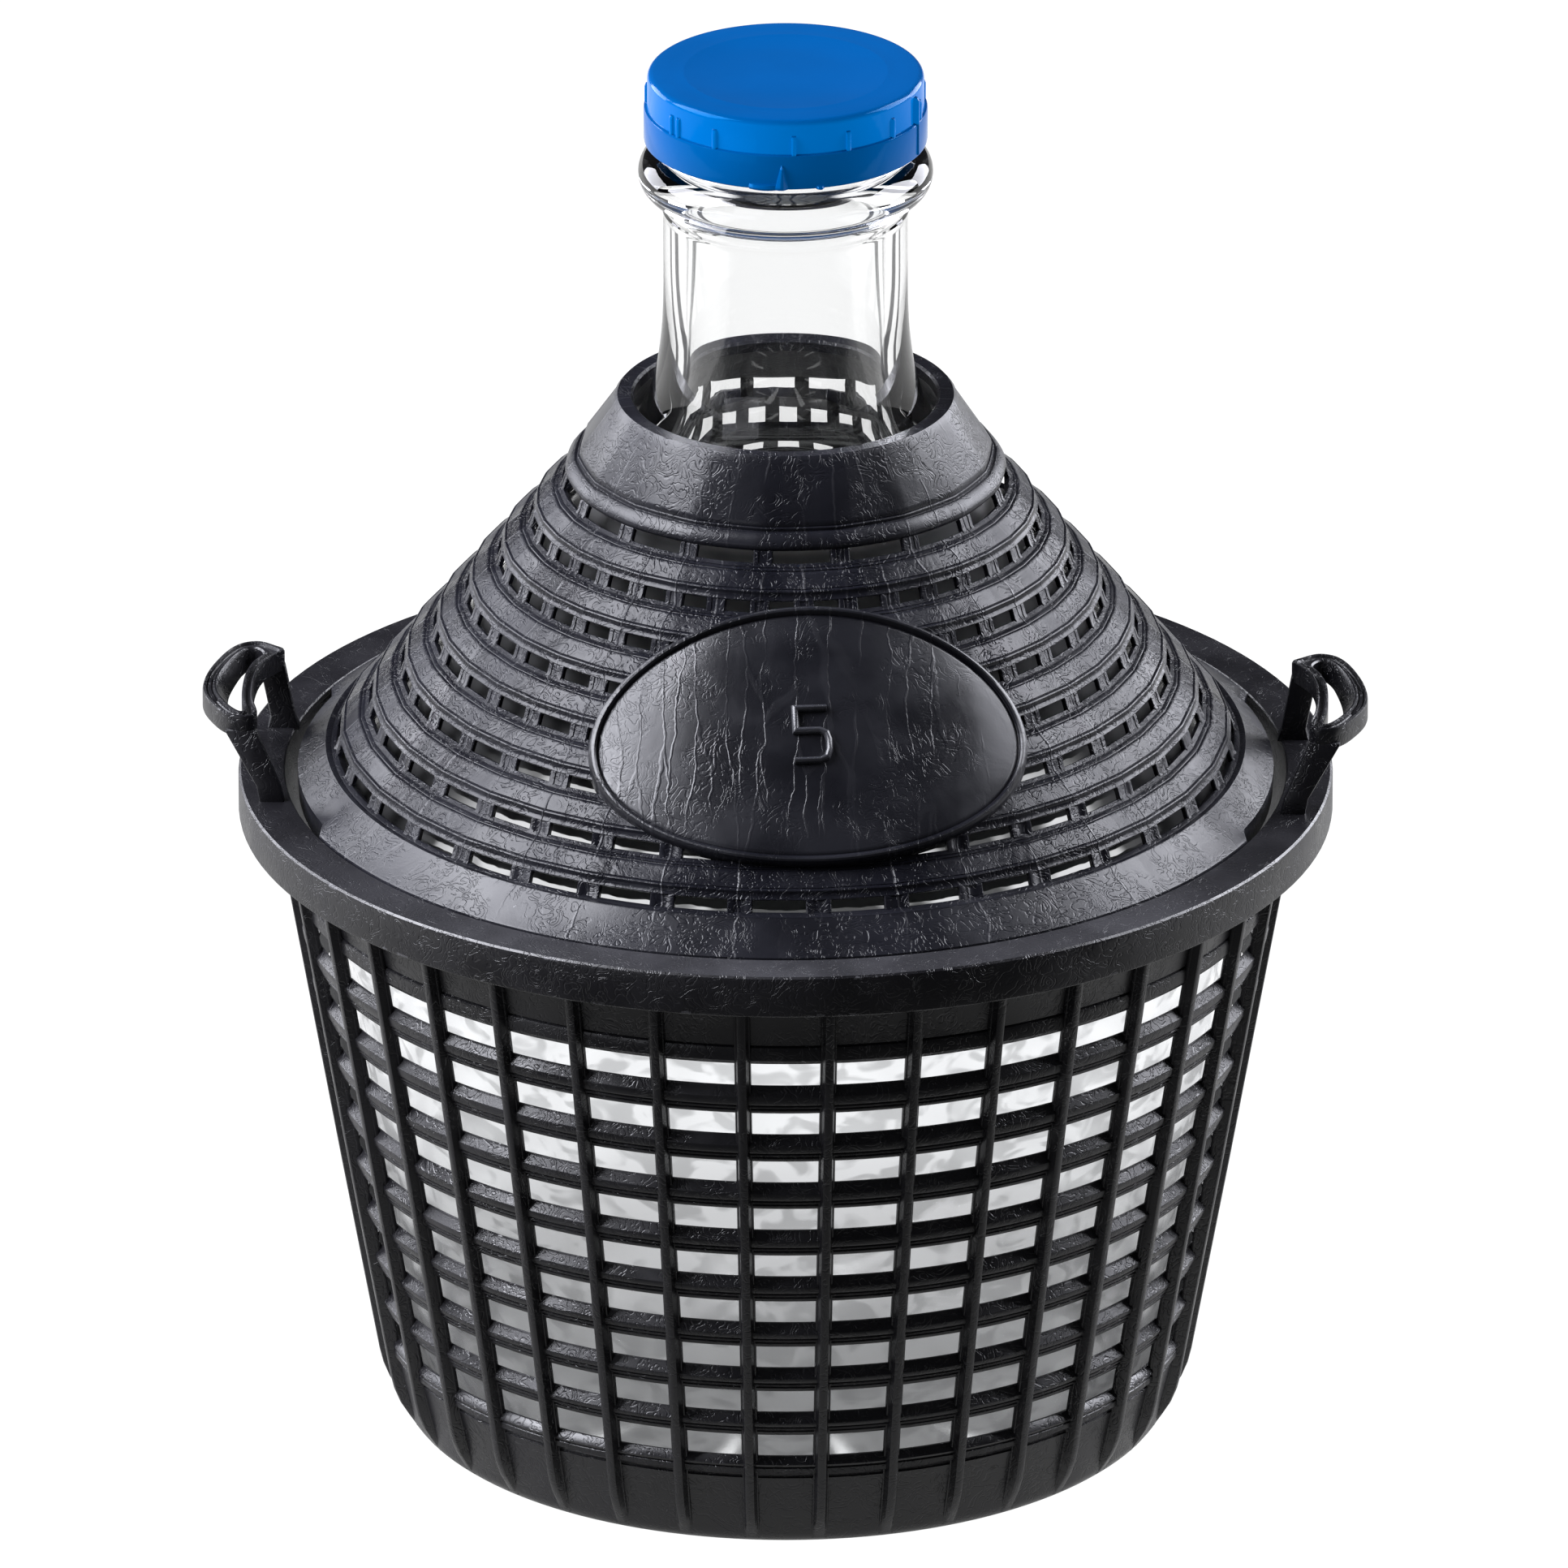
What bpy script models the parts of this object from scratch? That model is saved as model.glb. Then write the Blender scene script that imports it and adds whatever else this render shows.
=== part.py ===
"""Five litre wide-mouthed demijohn: a glass bottle in a moulded lattice basket,
with a slotted cone cover over its shoulder and a screw cap on its mouth.

Metres, +Z up. The origin is on the ground under the middle of the basket,
the handles lie along X and the oval plaque of the cover faces -Y.
"""
import math

import bmesh
import bpy
from mathutils import Matrix, Vector

MM = 0.001

# Running clearances
SEAT_GAP = 0.3 * MM
COVER_FIT = 0.4 * MM
HEEL_CLEARANCE = 1.9 * MM
BELLY_CLEARANCE = 4.9 * MM
SHOULDER_CLEARANCE = 1.6 * MM
COLLAR_CLEARANCE = 1.3 * MM
CAP_FIT = 1.1 * MM
LINER_FIT = 1.4 * MM

# Basket: wall, floor and foot
BASKET_HEIGHT = 152.6 * MM
WALL_FOOT_RADIUS = 85.1 * MM
WALL_TOP_RADIUS = 112.3 * MM
WALL_THICKNESS = 2.2 * MM
HEEL_RADIUS = 4.0 * MM
FLOOR_RECESS = 2.6 * MM
FLOOR_THICKNESS = 2.4 * MM
FLOOR_CORNER = 2.5 * MM
FOOT_RING_WIDTH = 8.0 * MM
EDGE_BREAK = 0.8 * MM

# Basket: the lattice
LATTICE_COLUMNS = 36
WINDOW_ROWS = 9
WINDOW_HEIGHT = 5.7 * MM
LOWEST_WINDOW = 23.4 * MM
WINDOW_PITCH = 11.45 * MM
PITCH_GROWTH = 0.084 * MM
POST_WIDTH = 4.3 * MM
RIB_DEPTH = 3.6 * MM
RIB_ROOT_WIDTH = 3.2 * MM
RIB_CREST_WIDTH = 1.9 * MM
RIB_TOE_LENGTH = 9.0 * MM
DRAIN_SLOTS = 12
DRAIN_LENGTH = 26.0 * MM
DRAIN_WIDTH = 6.0 * MM
DRAIN_MIDDLE = 50.0 * MM

# Basket: the rim that the cover sits in
RIM_WIDTH = 10.2 * MM
RIM_THICKNESS = 3.0 * MM
LIP_HEIGHT = 9.6 * MM
LIP_THICKNESS = 2.2 * MM
SEAT_WIDTH = 2.3 * MM
SEAT_DEPTH = 1.5 * MM

# Basket: the two handles, each a ring on two legs
HANDLE_HEIGHT = 19.6 * MM
HANDLE_RING_THICKNESS = 5.2 * MM
HANDLE_OVERHANG = 7.8 * MM
HANDLE_HALF_LENGTH = 22.8 * MM
HANDLE_BOW = 10.3 * MM
HANDLE_RING_WIDTH = 11.6 * MM
HANDLE_BAR_WIDTH = 3.1 * MM
HANDLE_LEG_THICKNESS = 2.8 * MM
HANDLE_LEG_WIDTH = 5.5 * MM
HANDLE_TURN = math.radians(-1.8)
HANDLE_BOW_STEPS = 7
HANDLE_HOLE_STEPS = 6
HANDLE_HOLE_SWEEP = 72.0
HANDLE_HOLE_BOW = 0.74

# Inner bar of a handle: steps in from its back in bar widths, places along it in half lengths
HANDLE_BACK_OUTLINE = ((2.0, 0.7825), (0.4, 0.42), (0.0, 0.0), (0.0, -0.5), (0.5, -0.9456))
HANDLE_BACK_HOLE = ((-0.3, 0.62), (-0.8, 0.2), (-0.8, -0.4))

# Cone cover
COVER_TURN = math.radians(4.2)
COVER_SEGMENTS = 36
SLOT_ROWS = 8
CONE_FALL = math.radians(50.9)
FOOT_BAND_WIDTH = 12.4 * MM
FOOT_BAND_RISE = 7.1 * MM
BAND_HEIGHT = 2.5 * MM
TROUGH_WIDTH = 3.0 * MM
BAND_FLANK = 0.5 * MM
COVER_SKIN = 1.8 * MM
SLOT_HEIGHT = 2.3 * MM
PILLAR_WIDTH = 4.4 * MM
TOP_SLOT_WIDTH = 12.6 * MM
COLLAR_RISE = 20.0 * MM
COLLAR_LIP = 4.5 * MM
COLLAR_WALL = 2.6 * MM
COLLAR_FLARE = 10.36 * MM
COLLAR_FOOT_INSET = 2.4 * MM
COLLAR_FOOT_RISE = 6.6 * MM
SPIGOT_DEPTH = 3.8 * MM
SPIGOT_THICKNESS = 2.0 * MM
HANDLE_NOTCH_DEPTH = 2.6 * MM
HANDLE_NOTCH_ANGLE = math.radians(22.0)

# Plaque on the cover; its place and half height are shares of the way from first to last slot row
PLAQUE_HALF_WIDTH = 48.8 * MM
PLAQUE_HEIGHT_SHARE = 0.3677
PLAQUE_PLACE_SHARE = 0.5168
PLAQUE_RISE = 2.9 * MM
PLAQUE_BEAD_RISE = 3.9 * MM
PLAQUE_BEAD_WIDTH = 1.8 * MM
PLAQUE_DRAW_ANGLE = math.radians(30.0)
PLAQUE_DRAW = 60.0 * MM
PLAQUE_SIDES = 28

# Bottle
GLASS_SEGMENTS = 32
BODY_WALL = 3.2 * MM
NECK_WALL = 4.7 * MM
STANDING_RING_INSET = 10.0 * MM
STANDING_RING_WIDTH = 5.0 * MM
PUSH_UP = 3.0 * MM
HEEL_RISE = 13.0 * MM
BELLY_DROP = 15.6 * MM
BELLY_CROWN = 2.6 * MM
BELLY_SPAN = 16.0 * MM
NECK_RADIUS = 26.9 * MM
NECK_FLARE = 7.6 * MM
FLARE_AT_COLLAR = 0.48
FLARE_ABOVE_COLLAR = 0.14
FLARE_END = 0.24
BORE_FLARE_AT_COLLAR = 0.3
BORE_FLARE_BELOW_COLLAR = 1.3
BORE_FLARE_END = 0.4
BEAD_RISE = 53.4 * MM
BEAD_PROUD = 5.6 * MM
BEAD_HALF_THICKNESS = 5.2 * MM
BEAD_SWEEP = 75.0
FINISH_STEP = 1.0 * MM
MOUTH_RISE = 20.2 * MM

# Screw cap and its liner
CAP_SEGMENTS = 40
CAP_HEIGHT = 16.0 * MM
CAP_SKIRT_HEIGHT = 8.1 * MM
CAP_STEP = 0.8 * MM
CAP_WALL = 1.5 * MM
CAP_TOP_THICKNESS = 1.6 * MM
CAP_EDGE_RADIUS = 1.3 * MM
CAP_RIB_WIDTH = 0.9 * MM
CAP_RIB_DEPTH = 0.7 * MM
CAP_RIB_HEIGHT = 4.4 * MM
CAP_RIB_COUNT = 15
CAP_RIB_START = math.radians(3.4)
LINER_THICKNESS = 1.2 * MM

# Worked out from the sizes above
FRONT = -math.pi / 2
CELL = 2 * math.pi / LATTICE_COLUMNS
WALL_SLOPE = (WALL_TOP_RADIUS - WALL_FOOT_RADIUS) / BASKET_HEIGHT
FLOOR_TOP = FLOOR_RECESS + FLOOR_THICKNESS
SEAT_LEVEL = BASKET_HEIGHT - SEAT_DEPTH
SEAT_INNER_RADIUS = WALL_FOOT_RADIUS + WALL_SLOPE * SEAT_LEVEL - WALL_THICKNESS
SEAT_RADIUS = SEAT_INNER_RADIUS + SEAT_WIDTH
RIM_RADIUS = WALL_TOP_RADIUS + RIM_WIDTH
RIM_UNDERSIDE = BASKET_HEIGHT - RIM_THICKNESS
HANDLE_REACH = RIM_RADIUS + HANDLE_OVERHANG
COVER_BASE = SEAT_LEVEL + SEAT_GAP
COVER_BASE_RADIUS = SEAT_RADIUS - SEAT_GAP
SPIGOT_RADIUS = SEAT_INNER_RADIUS - COVER_FIT
BEAD_RADIUS = NECK_RADIUS + BEAD_PROUD
FINISH_RADIUS = NECK_RADIUS + FINISH_STEP
COLLAR_BORE_RADIUS = BEAD_RADIUS + COLLAR_CLEARANCE
COLLAR_RADIUS = COLLAR_BORE_RADIUS + COLLAR_LIP
TOP_ROW_RADIUS = COLLAR_RADIUS + COLLAR_FLARE
LAST_ROW_DROP = (COVER_BASE_RADIUS - FOOT_BAND_WIDTH - TOP_ROW_RADIUS) / math.cos(CONE_FALL)
ROW_PITCH = LAST_ROW_DROP / (SLOT_ROWS - 1)
TOP_ROW_HEIGHT = BASKET_HEIGHT + FOOT_BAND_RISE + LAST_ROW_DROP * math.sin(CONE_FALL)
COLLAR_TOP = TOP_ROW_HEIGHT + COLLAR_RISE
COLLAR_FOOT_RADIUS = TOP_ROW_RADIUS - COLLAR_FOOT_INSET
PLAQUE_DROP = LAST_ROW_DROP * PLAQUE_PLACE_SHARE
PLAQUE_HALF_HEIGHT = LAST_ROW_DROP * PLAQUE_HEIGHT_SHARE
BOTTLE_FOOT = FLOOR_TOP + SEAT_GAP
HEEL_OUTER_RADIUS = (WALL_FOOT_RADIUS + WALL_SLOPE * (BOTTLE_FOOT + HEEL_RISE)
                     - WALL_THICKNESS - HEEL_CLEARANCE)
BELLY_HEIGHT = BASKET_HEIGHT - BELLY_DROP
BELLY_RADIUS = WALL_FOOT_RADIUS + WALL_SLOPE * BELLY_HEIGHT - WALL_THICKNESS - BELLY_CLEARANCE
BEAD_HEIGHT = COLLAR_TOP + BEAD_RISE
MOUTH_TOP = BEAD_HEIGHT + MOUTH_RISE
LINER_BOTTOM = MOUTH_TOP + SEAT_GAP
CAP_UNDERSIDE = LINER_BOTTOM + LINER_THICKNESS + SEAT_GAP
CAP_TOP = CAP_UNDERSIDE + CAP_TOP_THICKNESS
CAP_BORE_RADIUS = FINISH_RADIUS + CAP_FIT
CAP_BAND_RADIUS = CAP_BORE_RADIUS + CAP_WALL
CAP_SKIRT_RADIUS = CAP_BAND_RADIUS + CAP_STEP
CONE_ALONG = Vector((math.cos(CONE_FALL), -math.sin(CONE_FALL)))
CONE_OUT = Vector((math.sin(CONE_FALL), math.cos(CONE_FALL)))


def wall_radius(height):
    """Outer radius of the basket wall, between its ribs."""
    return WALL_FOOT_RADIUS + WALL_SLOPE * height


def cone_point(along, out=0.0):
    """Radius and height of a point on the cone cover, from its top slot row."""
    top = Vector((TOP_ROW_RADIUS, TOP_ROW_HEIGHT))
    return tuple(top + CONE_ALONG * along + CONE_OUT * out)


def arc(centre, radius, start, end, steps):
    """Points on an arc in the profile plane, angles in degrees from outwards."""
    points = []
    for step in range(steps + 1):
        angle = math.radians(start + (end - start) * step / steps)
        points.append((centre[0] + radius * math.cos(angle), centre[1] + radius * math.sin(angle)))
    return points


def material(name, colour, roughness, metallic=0.0, transmission=0.0):
    """One Principled material for one kind of piece."""
    made = bpy.data.materials.new(name)
    made.use_nodes = True
    shader = made.node_tree.nodes["Principled BSDF"]
    shader.inputs["Base Color"].default_value = (*colour, 1.0)
    shader.inputs["Roughness"].default_value = roughness
    shader.inputs["Metallic"].default_value = metallic
    shader.inputs["Transmission Weight"].default_value = transmission
    made.diffuse_color = (*colour, 1.0)
    return made


def add_object(name, mesh_builder, finish=None):
    """Turn a bmesh into an object of the scene and free it."""
    mesh = bpy.data.meshes.new(name)
    mesh_builder.to_mesh(mesh)
    mesh_builder.free()
    made = bpy.data.objects.new(name, mesh)
    bpy.context.scene.collection.objects.link(made)
    if finish:
        mesh.materials.append(finish)
    return made


def smooth(piece, angle):
    """Shade a round piece smooth, with edges over the angle left sharp."""
    piece.data.shade_smooth()
    piece.data.set_sharp_from_angle(angle=math.radians(angle))


def hide_cutter(cutter):
    """Keep a cutter out of the picture and out of the part."""
    cutter.hide_render = True
    cutter.display_type = 'WIRE'


def combine(piece, other, operation):
    """Join a cutter or an addition to a piece with a Boolean modifier."""
    hide_cutter(other)
    step = piece.modifiers.new(other.name, 'BOOLEAN')
    step.operation = operation
    step.solver = 'EXACT'
    step.object = other


def lathe(profile, segments, turn=0.0):
    """Closed profile of (radius, height) points turned about Z; points on the axis close up."""
    made = bmesh.new()
    start = Matrix.Rotation(turn, 3, 'Z')
    ring = [made.verts.new(start @ Vector((radius, 0.0, height))) for radius, height in profile]
    edges = [made.edges.new((ring[i], ring[(i + 1) % len(ring)])) for i in range(len(ring))]
    on_axis = [edge for edge in edges if all(vert.co.xy.length < 1e-9 for vert in edge.verts)]
    bmesh.ops.delete(made, geom=on_axis, context='EDGES')
    bmesh.ops.spin(made, geom=made.verts[:] + made.edges[:], cent=(0, 0, 0), axis=(0, 0, 1),
                   dvec=(0, 0, 0), angle=2 * math.pi, steps=segments, use_merge=True,
                   use_duplicate=False)
    bmesh.ops.remove_doubles(made, verts=made.verts[:], dist=1e-7)
    bmesh.ops.dissolve_degenerate(made, edges=made.edges[:], dist=1e-8)
    bmesh.ops.recalc_face_normals(made, faces=made.faces[:])
    return made


def loft(target, sections):
    """Solid through sections, each the same number of points; its two ends are capped."""
    rings = [[target.verts.new(point) for point in section] for section in sections]
    count = len(rings[0])
    faces = [target.faces.new(rings[0][::-1]), target.faces.new(rings[-1])]
    for low, high in zip(rings, rings[1:]):
        for i in range(count):
            faces.append(target.faces.new((low[i], low[(i + 1) % count], high[(i + 1) % count], high[i])))
    bmesh.ops.recalc_face_normals(target, faces=faces)


def turned(points, angle):
    """Points turned about Z."""
    turn = Matrix.Rotation(angle, 3, 'Z')
    return [turn @ Vector(point) for point in points]


# Basket

def basket_profile():
    """Section through floor, wall and rim of the basket."""
    inner = WALL_THICKNESS
    corner = FLOOR_CORNER
    heel_centre = (wall_radius(HEEL_RADIUS) - HEEL_RADIUS, HEEL_RADIUS)
    heel = arc(heel_centre, HEEL_RADIUS, 0.0, -90.0, 2)
    foot_inner = heel_centre[0] - FOOT_RING_WIDTH
    return [
        (0.0, FLOOR_TOP),
        (wall_radius(FLOOR_TOP) - inner - corner, FLOOR_TOP),
        (wall_radius(FLOOR_TOP + corner) - inner, FLOOR_TOP + corner),
        (wall_radius(SEAT_LEVEL) - inner, SEAT_LEVEL),
        (SEAT_RADIUS, SEAT_LEVEL),
        (SEAT_RADIUS, BASKET_HEIGHT),
        (RIM_RADIUS - EDGE_BREAK, BASKET_HEIGHT),
        (RIM_RADIUS, BASKET_HEIGHT - EDGE_BREAK),
        (RIM_RADIUS, BASKET_HEIGHT - LIP_HEIGHT),
        (RIM_RADIUS - LIP_THICKNESS, BASKET_HEIGHT - LIP_HEIGHT),
        (RIM_RADIUS - LIP_THICKNESS, RIM_UNDERSIDE),
        (wall_radius(RIM_UNDERSIDE), RIM_UNDERSIDE),
        *heel,
        (foot_inner, 0.0),
        (foot_inner - EDGE_BREAK, FLOOR_RECESS),
        (0.0, FLOOR_RECESS),
    ]


def rib_solids():
    """The outer ribs, one on each post, from a toe at the foot up into the rim."""
    made = bmesh.new()
    bury = WALL_THICKNESS / 2
    top = RIM_UNDERSIDE + RIM_THICKNESS / 3
    toe = EDGE_BREAK
    levels = [
        (toe, 0.0, RIB_CREST_WIDTH),
        (RIB_TOE_LENGTH, RIB_DEPTH, RIB_CREST_WIDTH),
        (top, RIB_DEPTH, RIB_CREST_WIDTH),
    ]
    for column in range(LATTICE_COLUMNS):
        sections = []
        for height, depth, crest in levels:
            root = wall_radius(height) - bury
            out = wall_radius(height) + depth
            half_root = RIB_ROOT_WIDTH / 2
            half_crest = crest / 2
            section = [(root, -half_root, height), (out, -half_crest, height),
                       (out, half_crest, height), (root, half_root, height)]
            sections.append(turned(section, FRONT + CELL * (column + 0.5)))
        loft(made, sections)
    return made


def window_levels():
    """Lower edge of each row of windows; the rows open out a little towards the rim."""
    return [LOWEST_WINDOW + WINDOW_PITCH * row + PITCH_GROWTH * row * row for row in range(WINDOW_ROWS)]


def window_cutters():
    """One block through the wall for every window."""
    made = bmesh.new()
    reach = 2 * WALL_THICKNESS
    for low in window_levels():
        for column in range(LATTICE_COLUMNS):
            sections = []
            for height in (low, low + WINDOW_HEIGHT):
                middle = wall_radius(height) * math.cos(CELL / 2)
                half = wall_radius(height) * math.sin(CELL / 2) - POST_WIDTH / 2
                section = [(middle - reach, -half, height), (middle + reach, -half, height),
                           (middle + reach, half, height), (middle - reach, half, height)]
                sections.append(turned(section, FRONT + CELL * column))
            loft(made, sections)
    return made


def drain_cutters():
    """Radial slots through the floor of the basket."""
    made = bmesh.new()
    for slot in range(DRAIN_SLOTS):
        low = DRAIN_MIDDLE - DRAIN_LENGTH / 2
        high = DRAIN_MIDDLE + DRAIN_LENGTH / 2
        half = DRAIN_WIDTH / 2
        sections = []
        for height in (FLOOR_RECESS - MM, FLOOR_TOP + MM):
            outline = [(low, -half / 2, height), (high, -half, height),
                       (high, half, height), (low, half / 2, height)]
            sections.append(turned(outline, FRONT + 2 * math.pi * (slot + 0.5) / DRAIN_SLOTS))
        loft(made, sections)
    return made


def handle_outline():
    """Outer outline of a handle ring: a bowed outer bar and a gently curved inner bar."""
    reach = HANDLE_REACH
    half = HANDLE_HALF_LENGTH
    back = reach - HANDLE_RING_WIDTH
    bow = []
    for step in range(HANDLE_BOW_STEPS + 1):
        angle = math.radians(-90 + 180 * step / HANDLE_BOW_STEPS)
        bow.append((reach - HANDLE_BOW * (1 - math.cos(angle)), half * math.sin(angle)))
    inner = [(back - HANDLE_BAR_WIDTH * steps_in, half * place) for steps_in, place in HANDLE_BACK_OUTLINE]
    return bow + inner


def handle_hole():
    """Outline of the D-shaped hole in a handle ring."""
    reach = HANDLE_REACH - HANDLE_BAR_WIDTH
    half = HANDLE_HALF_LENGTH - HANDLE_BAR_WIDTH
    back = HANDLE_REACH - HANDLE_RING_WIDTH
    bow = []
    for step in range(HANDLE_HOLE_STEPS + 1):
        angle = math.radians(HANDLE_HOLE_SWEEP * (2 * step / HANDLE_HOLE_STEPS - 1))
        bow.append((reach - HANDLE_BOW * HANDLE_HOLE_BOW * (1 - math.cos(angle)), half * math.sin(angle)))
    inner = [(back - HANDLE_BAR_WIDTH * steps_in, half * place) for steps_in, place in HANDLE_BACK_HOLE]
    return bow + inner


def handle_legs():
    """Foot and head of each leg: nearest and farthest from the axis, and place along the rim."""
    back = HANDLE_REACH - HANDLE_RING_WIDTH
    half = HANDLE_HALF_LENGTH
    thick = HANDLE_LEG_THICKNESS
    wide = HANDLE_LEG_WIDTH
    foot = SEAT_RADIUS - EDGE_BREAK
    return [
        ((foot, foot + wide, -half - thick / 2), (back - thick / 2, back + wide, -half + thick / 2)),
        ((foot, foot + wide, half - thick), (back - wide, back + thick / 4, half - thick * 1.6)),
    ]


def handle_solid(side):
    """One handle: a ring on two legs that lean outwards; side is 1 at +X and -1 at -X."""
    top = BASKET_HEIGHT + HANDLE_HEIGHT
    ring_low = top - HANDLE_RING_THICKNESS
    made = bmesh.new()
    outline = handle_outline()
    loft(made, [[(out, along, height) for out, along in outline] for height in (ring_low, top)])
    ring = add_object("handle_ring", made)
    hole = bmesh.new()
    heights = (ring_low - MM, top + MM)
    loft(hole, [[(out, along, height) for out, along in handle_hole()] for height in heights])
    combine(ring, add_object("handle_hole", hole), 'DIFFERENCE')
    for number, (foot, head) in enumerate(handle_legs()):
        leg = bmesh.new()
        sections = []
        for (near, far, along), height in ((foot, SEAT_LEVEL), (head, ring_low + HANDLE_RING_THICKNESS / 2)):
            half = HANDLE_LEG_THICKNESS / 2
            sections.append([(near, along - half, height), (far, along - half, height),
                             (far, along + half, height), (near, along + half, height)])
        loft(leg, sections)
        combine(ring, add_object("handle_leg_%d" % number, leg), 'UNION')
    solid = baked(ring)
    bmesh.ops.transform(solid, matrix=Matrix.Scale(side, 4, (1, 0, 0)), verts=solid.verts[:])
    bmesh.ops.transform(solid, matrix=Matrix.Rotation(HANDLE_TURN, 4, 'Z'), verts=solid.verts[:])
    bmesh.ops.recalc_face_normals(solid, faces=solid.faces[:])
    return solid


def baked(piece):
    """A bmesh of a piece with its modifiers done; the piece and its cutters are removed."""
    graph = bpy.context.evaluated_depsgraph_get()
    made = bmesh.new()
    made.from_mesh(piece.evaluated_get(graph).data)
    used = [step.object for step in piece.modifiers]
    for spent in used + [piece]:
        bpy.data.objects.remove(spent)
    return made


def make_basket(finish):
    """The basket: lattice wall, floor, rim and two handles, moulded in one."""
    basket = add_object("basket", lathe(basket_profile(), LATTICE_COLUMNS, FRONT + CELL / 2), finish)
    combine(basket, add_object("basket_ribs", rib_solids()), 'UNION')
    combine(basket, add_object("basket_windows", window_cutters()), 'DIFFERENCE')
    combine(basket, add_object("basket_drains", drain_cutters()), 'DIFFERENCE')
    for side, word in ((1, "right"), (-1, "left")):
        combine(basket, add_object("handle_" + word, handle_solid(side)), 'UNION')
    smooth(basket, 20)
    return basket


# Cone cover

def cover_profile():
    """Section through the cover: stepped cone outside, plain cone inside, spigot and collar."""
    trough = TROUGH_WIDTH / 2
    outer = []
    for row in range(SLOT_ROWS - 1, -1, -1):
        along = row * ROW_PITCH
        outer.append(cone_point(along + trough + BAND_FLANK, BAND_HEIGHT))
        outer.append(cone_point(along + trough))
        outer.append(cone_point(along - trough))
        outer.append(cone_point(along - trough - BAND_FLANK, BAND_HEIGHT))
    spigot_inner = SPIGOT_RADIUS - SPIGOT_THICKNESS
    return [
        (spigot_inner, COVER_BASE - SPIGOT_DEPTH),
        (SPIGOT_RADIUS - COVER_FIT, COVER_BASE - SPIGOT_DEPTH),
        (SPIGOT_RADIUS, COVER_BASE),
        (COVER_BASE_RADIUS, COVER_BASE),
        (COVER_BASE_RADIUS, BASKET_HEIGHT),
        *outer,
        (COLLAR_FOOT_RADIUS, TOP_ROW_HEIGHT + COLLAR_FOOT_RISE),
        (COLLAR_RADIUS, COLLAR_TOP - EDGE_BREAK),
        (COLLAR_RADIUS - EDGE_BREAK, COLLAR_TOP),
        (COLLAR_BORE_RADIUS, COLLAR_TOP),
        (COLLAR_BORE_RADIUS, COLLAR_TOP - COLLAR_WALL),
        (COLLAR_FOOT_RADIUS - COLLAR_WALL, TOP_ROW_HEIGHT + COLLAR_FOOT_RISE - COLLAR_WALL),
        cone_point(0.0, -COVER_SKIN),
        cone_point(LAST_ROW_DROP, -COVER_SKIN),
        (spigot_inner, COVER_BASE + SPIGOT_THICKNESS / 2),
    ]


def plaque_centre():
    """Point on the cone that the middle of the plaque lies over, before the cover's turn."""
    radius, height = cone_point(PLAQUE_DROP)
    return Vector((0.0, -radius, height))


def plaque_prism(grow, reach):
    """Elliptical prism along the direction the plaque is drawn out of its mould, reaching both ways."""
    draw = Vector((0.0, -math.cos(PLAQUE_DRAW_ANGLE), math.sin(PLAQUE_DRAW_ANGLE)))
    up = Vector((0.0, math.sin(PLAQUE_DRAW_ANGLE), math.cos(PLAQUE_DRAW_ANGLE)))
    tilt = math.cos(math.pi / 2 - CONE_FALL - PLAQUE_DRAW_ANGLE)
    half_width = PLAQUE_HALF_WIDTH + grow
    half_height = PLAQUE_HALF_HEIGHT * tilt + grow
    sections = []
    for distance in (-reach, reach):
        base = plaque_centre() + draw * distance
        section = []
        for step in range(PLAQUE_SIDES):
            angle = 2 * math.pi * step / PLAQUE_SIDES
            section.append(base + Vector((half_width * math.cos(angle), 0, 0)) + up * half_height * math.sin(angle))
        sections.append(turned(section, COVER_TURN))
    made = bmesh.new()
    loft(made, sections)
    return made


def plaque_shell(rise):
    """Smooth conical shell that the plaque is cut out of."""
    buried = -COVER_SKIN / 2
    high = ROW_PITCH / 2
    profile = [cone_point(LAST_ROW_DROP, buried), cone_point(LAST_ROW_DROP, rise),
               cone_point(high, rise), cone_point(high, buried)]
    return lathe(profile, COVER_SEGMENTS, FRONT + COVER_TURN)


def plaque_part(rise, grow, word):
    """A piece of the shell inside the plaque's outline."""
    shell = add_object("plaque_" + word, plaque_shell(rise))
    prism = add_object("plaque_prism_" + word, plaque_prism(grow, PLAQUE_DRAW))
    combine(shell, prism, 'INTERSECT')
    return shell


def plaque_solid():
    """The plaque: a smooth oval with a raised bead round it."""
    bead = plaque_part(PLAQUE_BEAD_RISE, 0.0, "bead")
    hollow = add_object("plaque_hollow", plaque_prism(-PLAQUE_BEAD_WIDTH, PLAQUE_DRAW + MM))
    combine(bead, hollow, 'DIFFERENCE')
    plate = plaque_part(PLAQUE_RISE, -PLAQUE_BEAD_WIDTH / 2, "plate")
    ring = add_object("plaque_ring", baked(bead))
    combine(plate, ring, 'UNION')
    return baked(plate)


def inside_plaque(point):
    """Whether a point on the cone lies under the plaque or touches its bead."""
    centre = plaque_centre()
    up = Vector((0.0, math.sin(PLAQUE_DRAW_ANGLE), math.cos(PLAQUE_DRAW_ANGLE)))
    offset = point - centre
    tilt = math.cos(math.pi / 2 - CONE_FALL - PLAQUE_DRAW_ANGLE)
    across = offset.x / (PLAQUE_HALF_WIDTH + MM)
    along = offset.dot(up) / (PLAQUE_HALF_HEIGHT * tilt + MM)
    return point.y < 0 and across * across + along * along < 1


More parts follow.
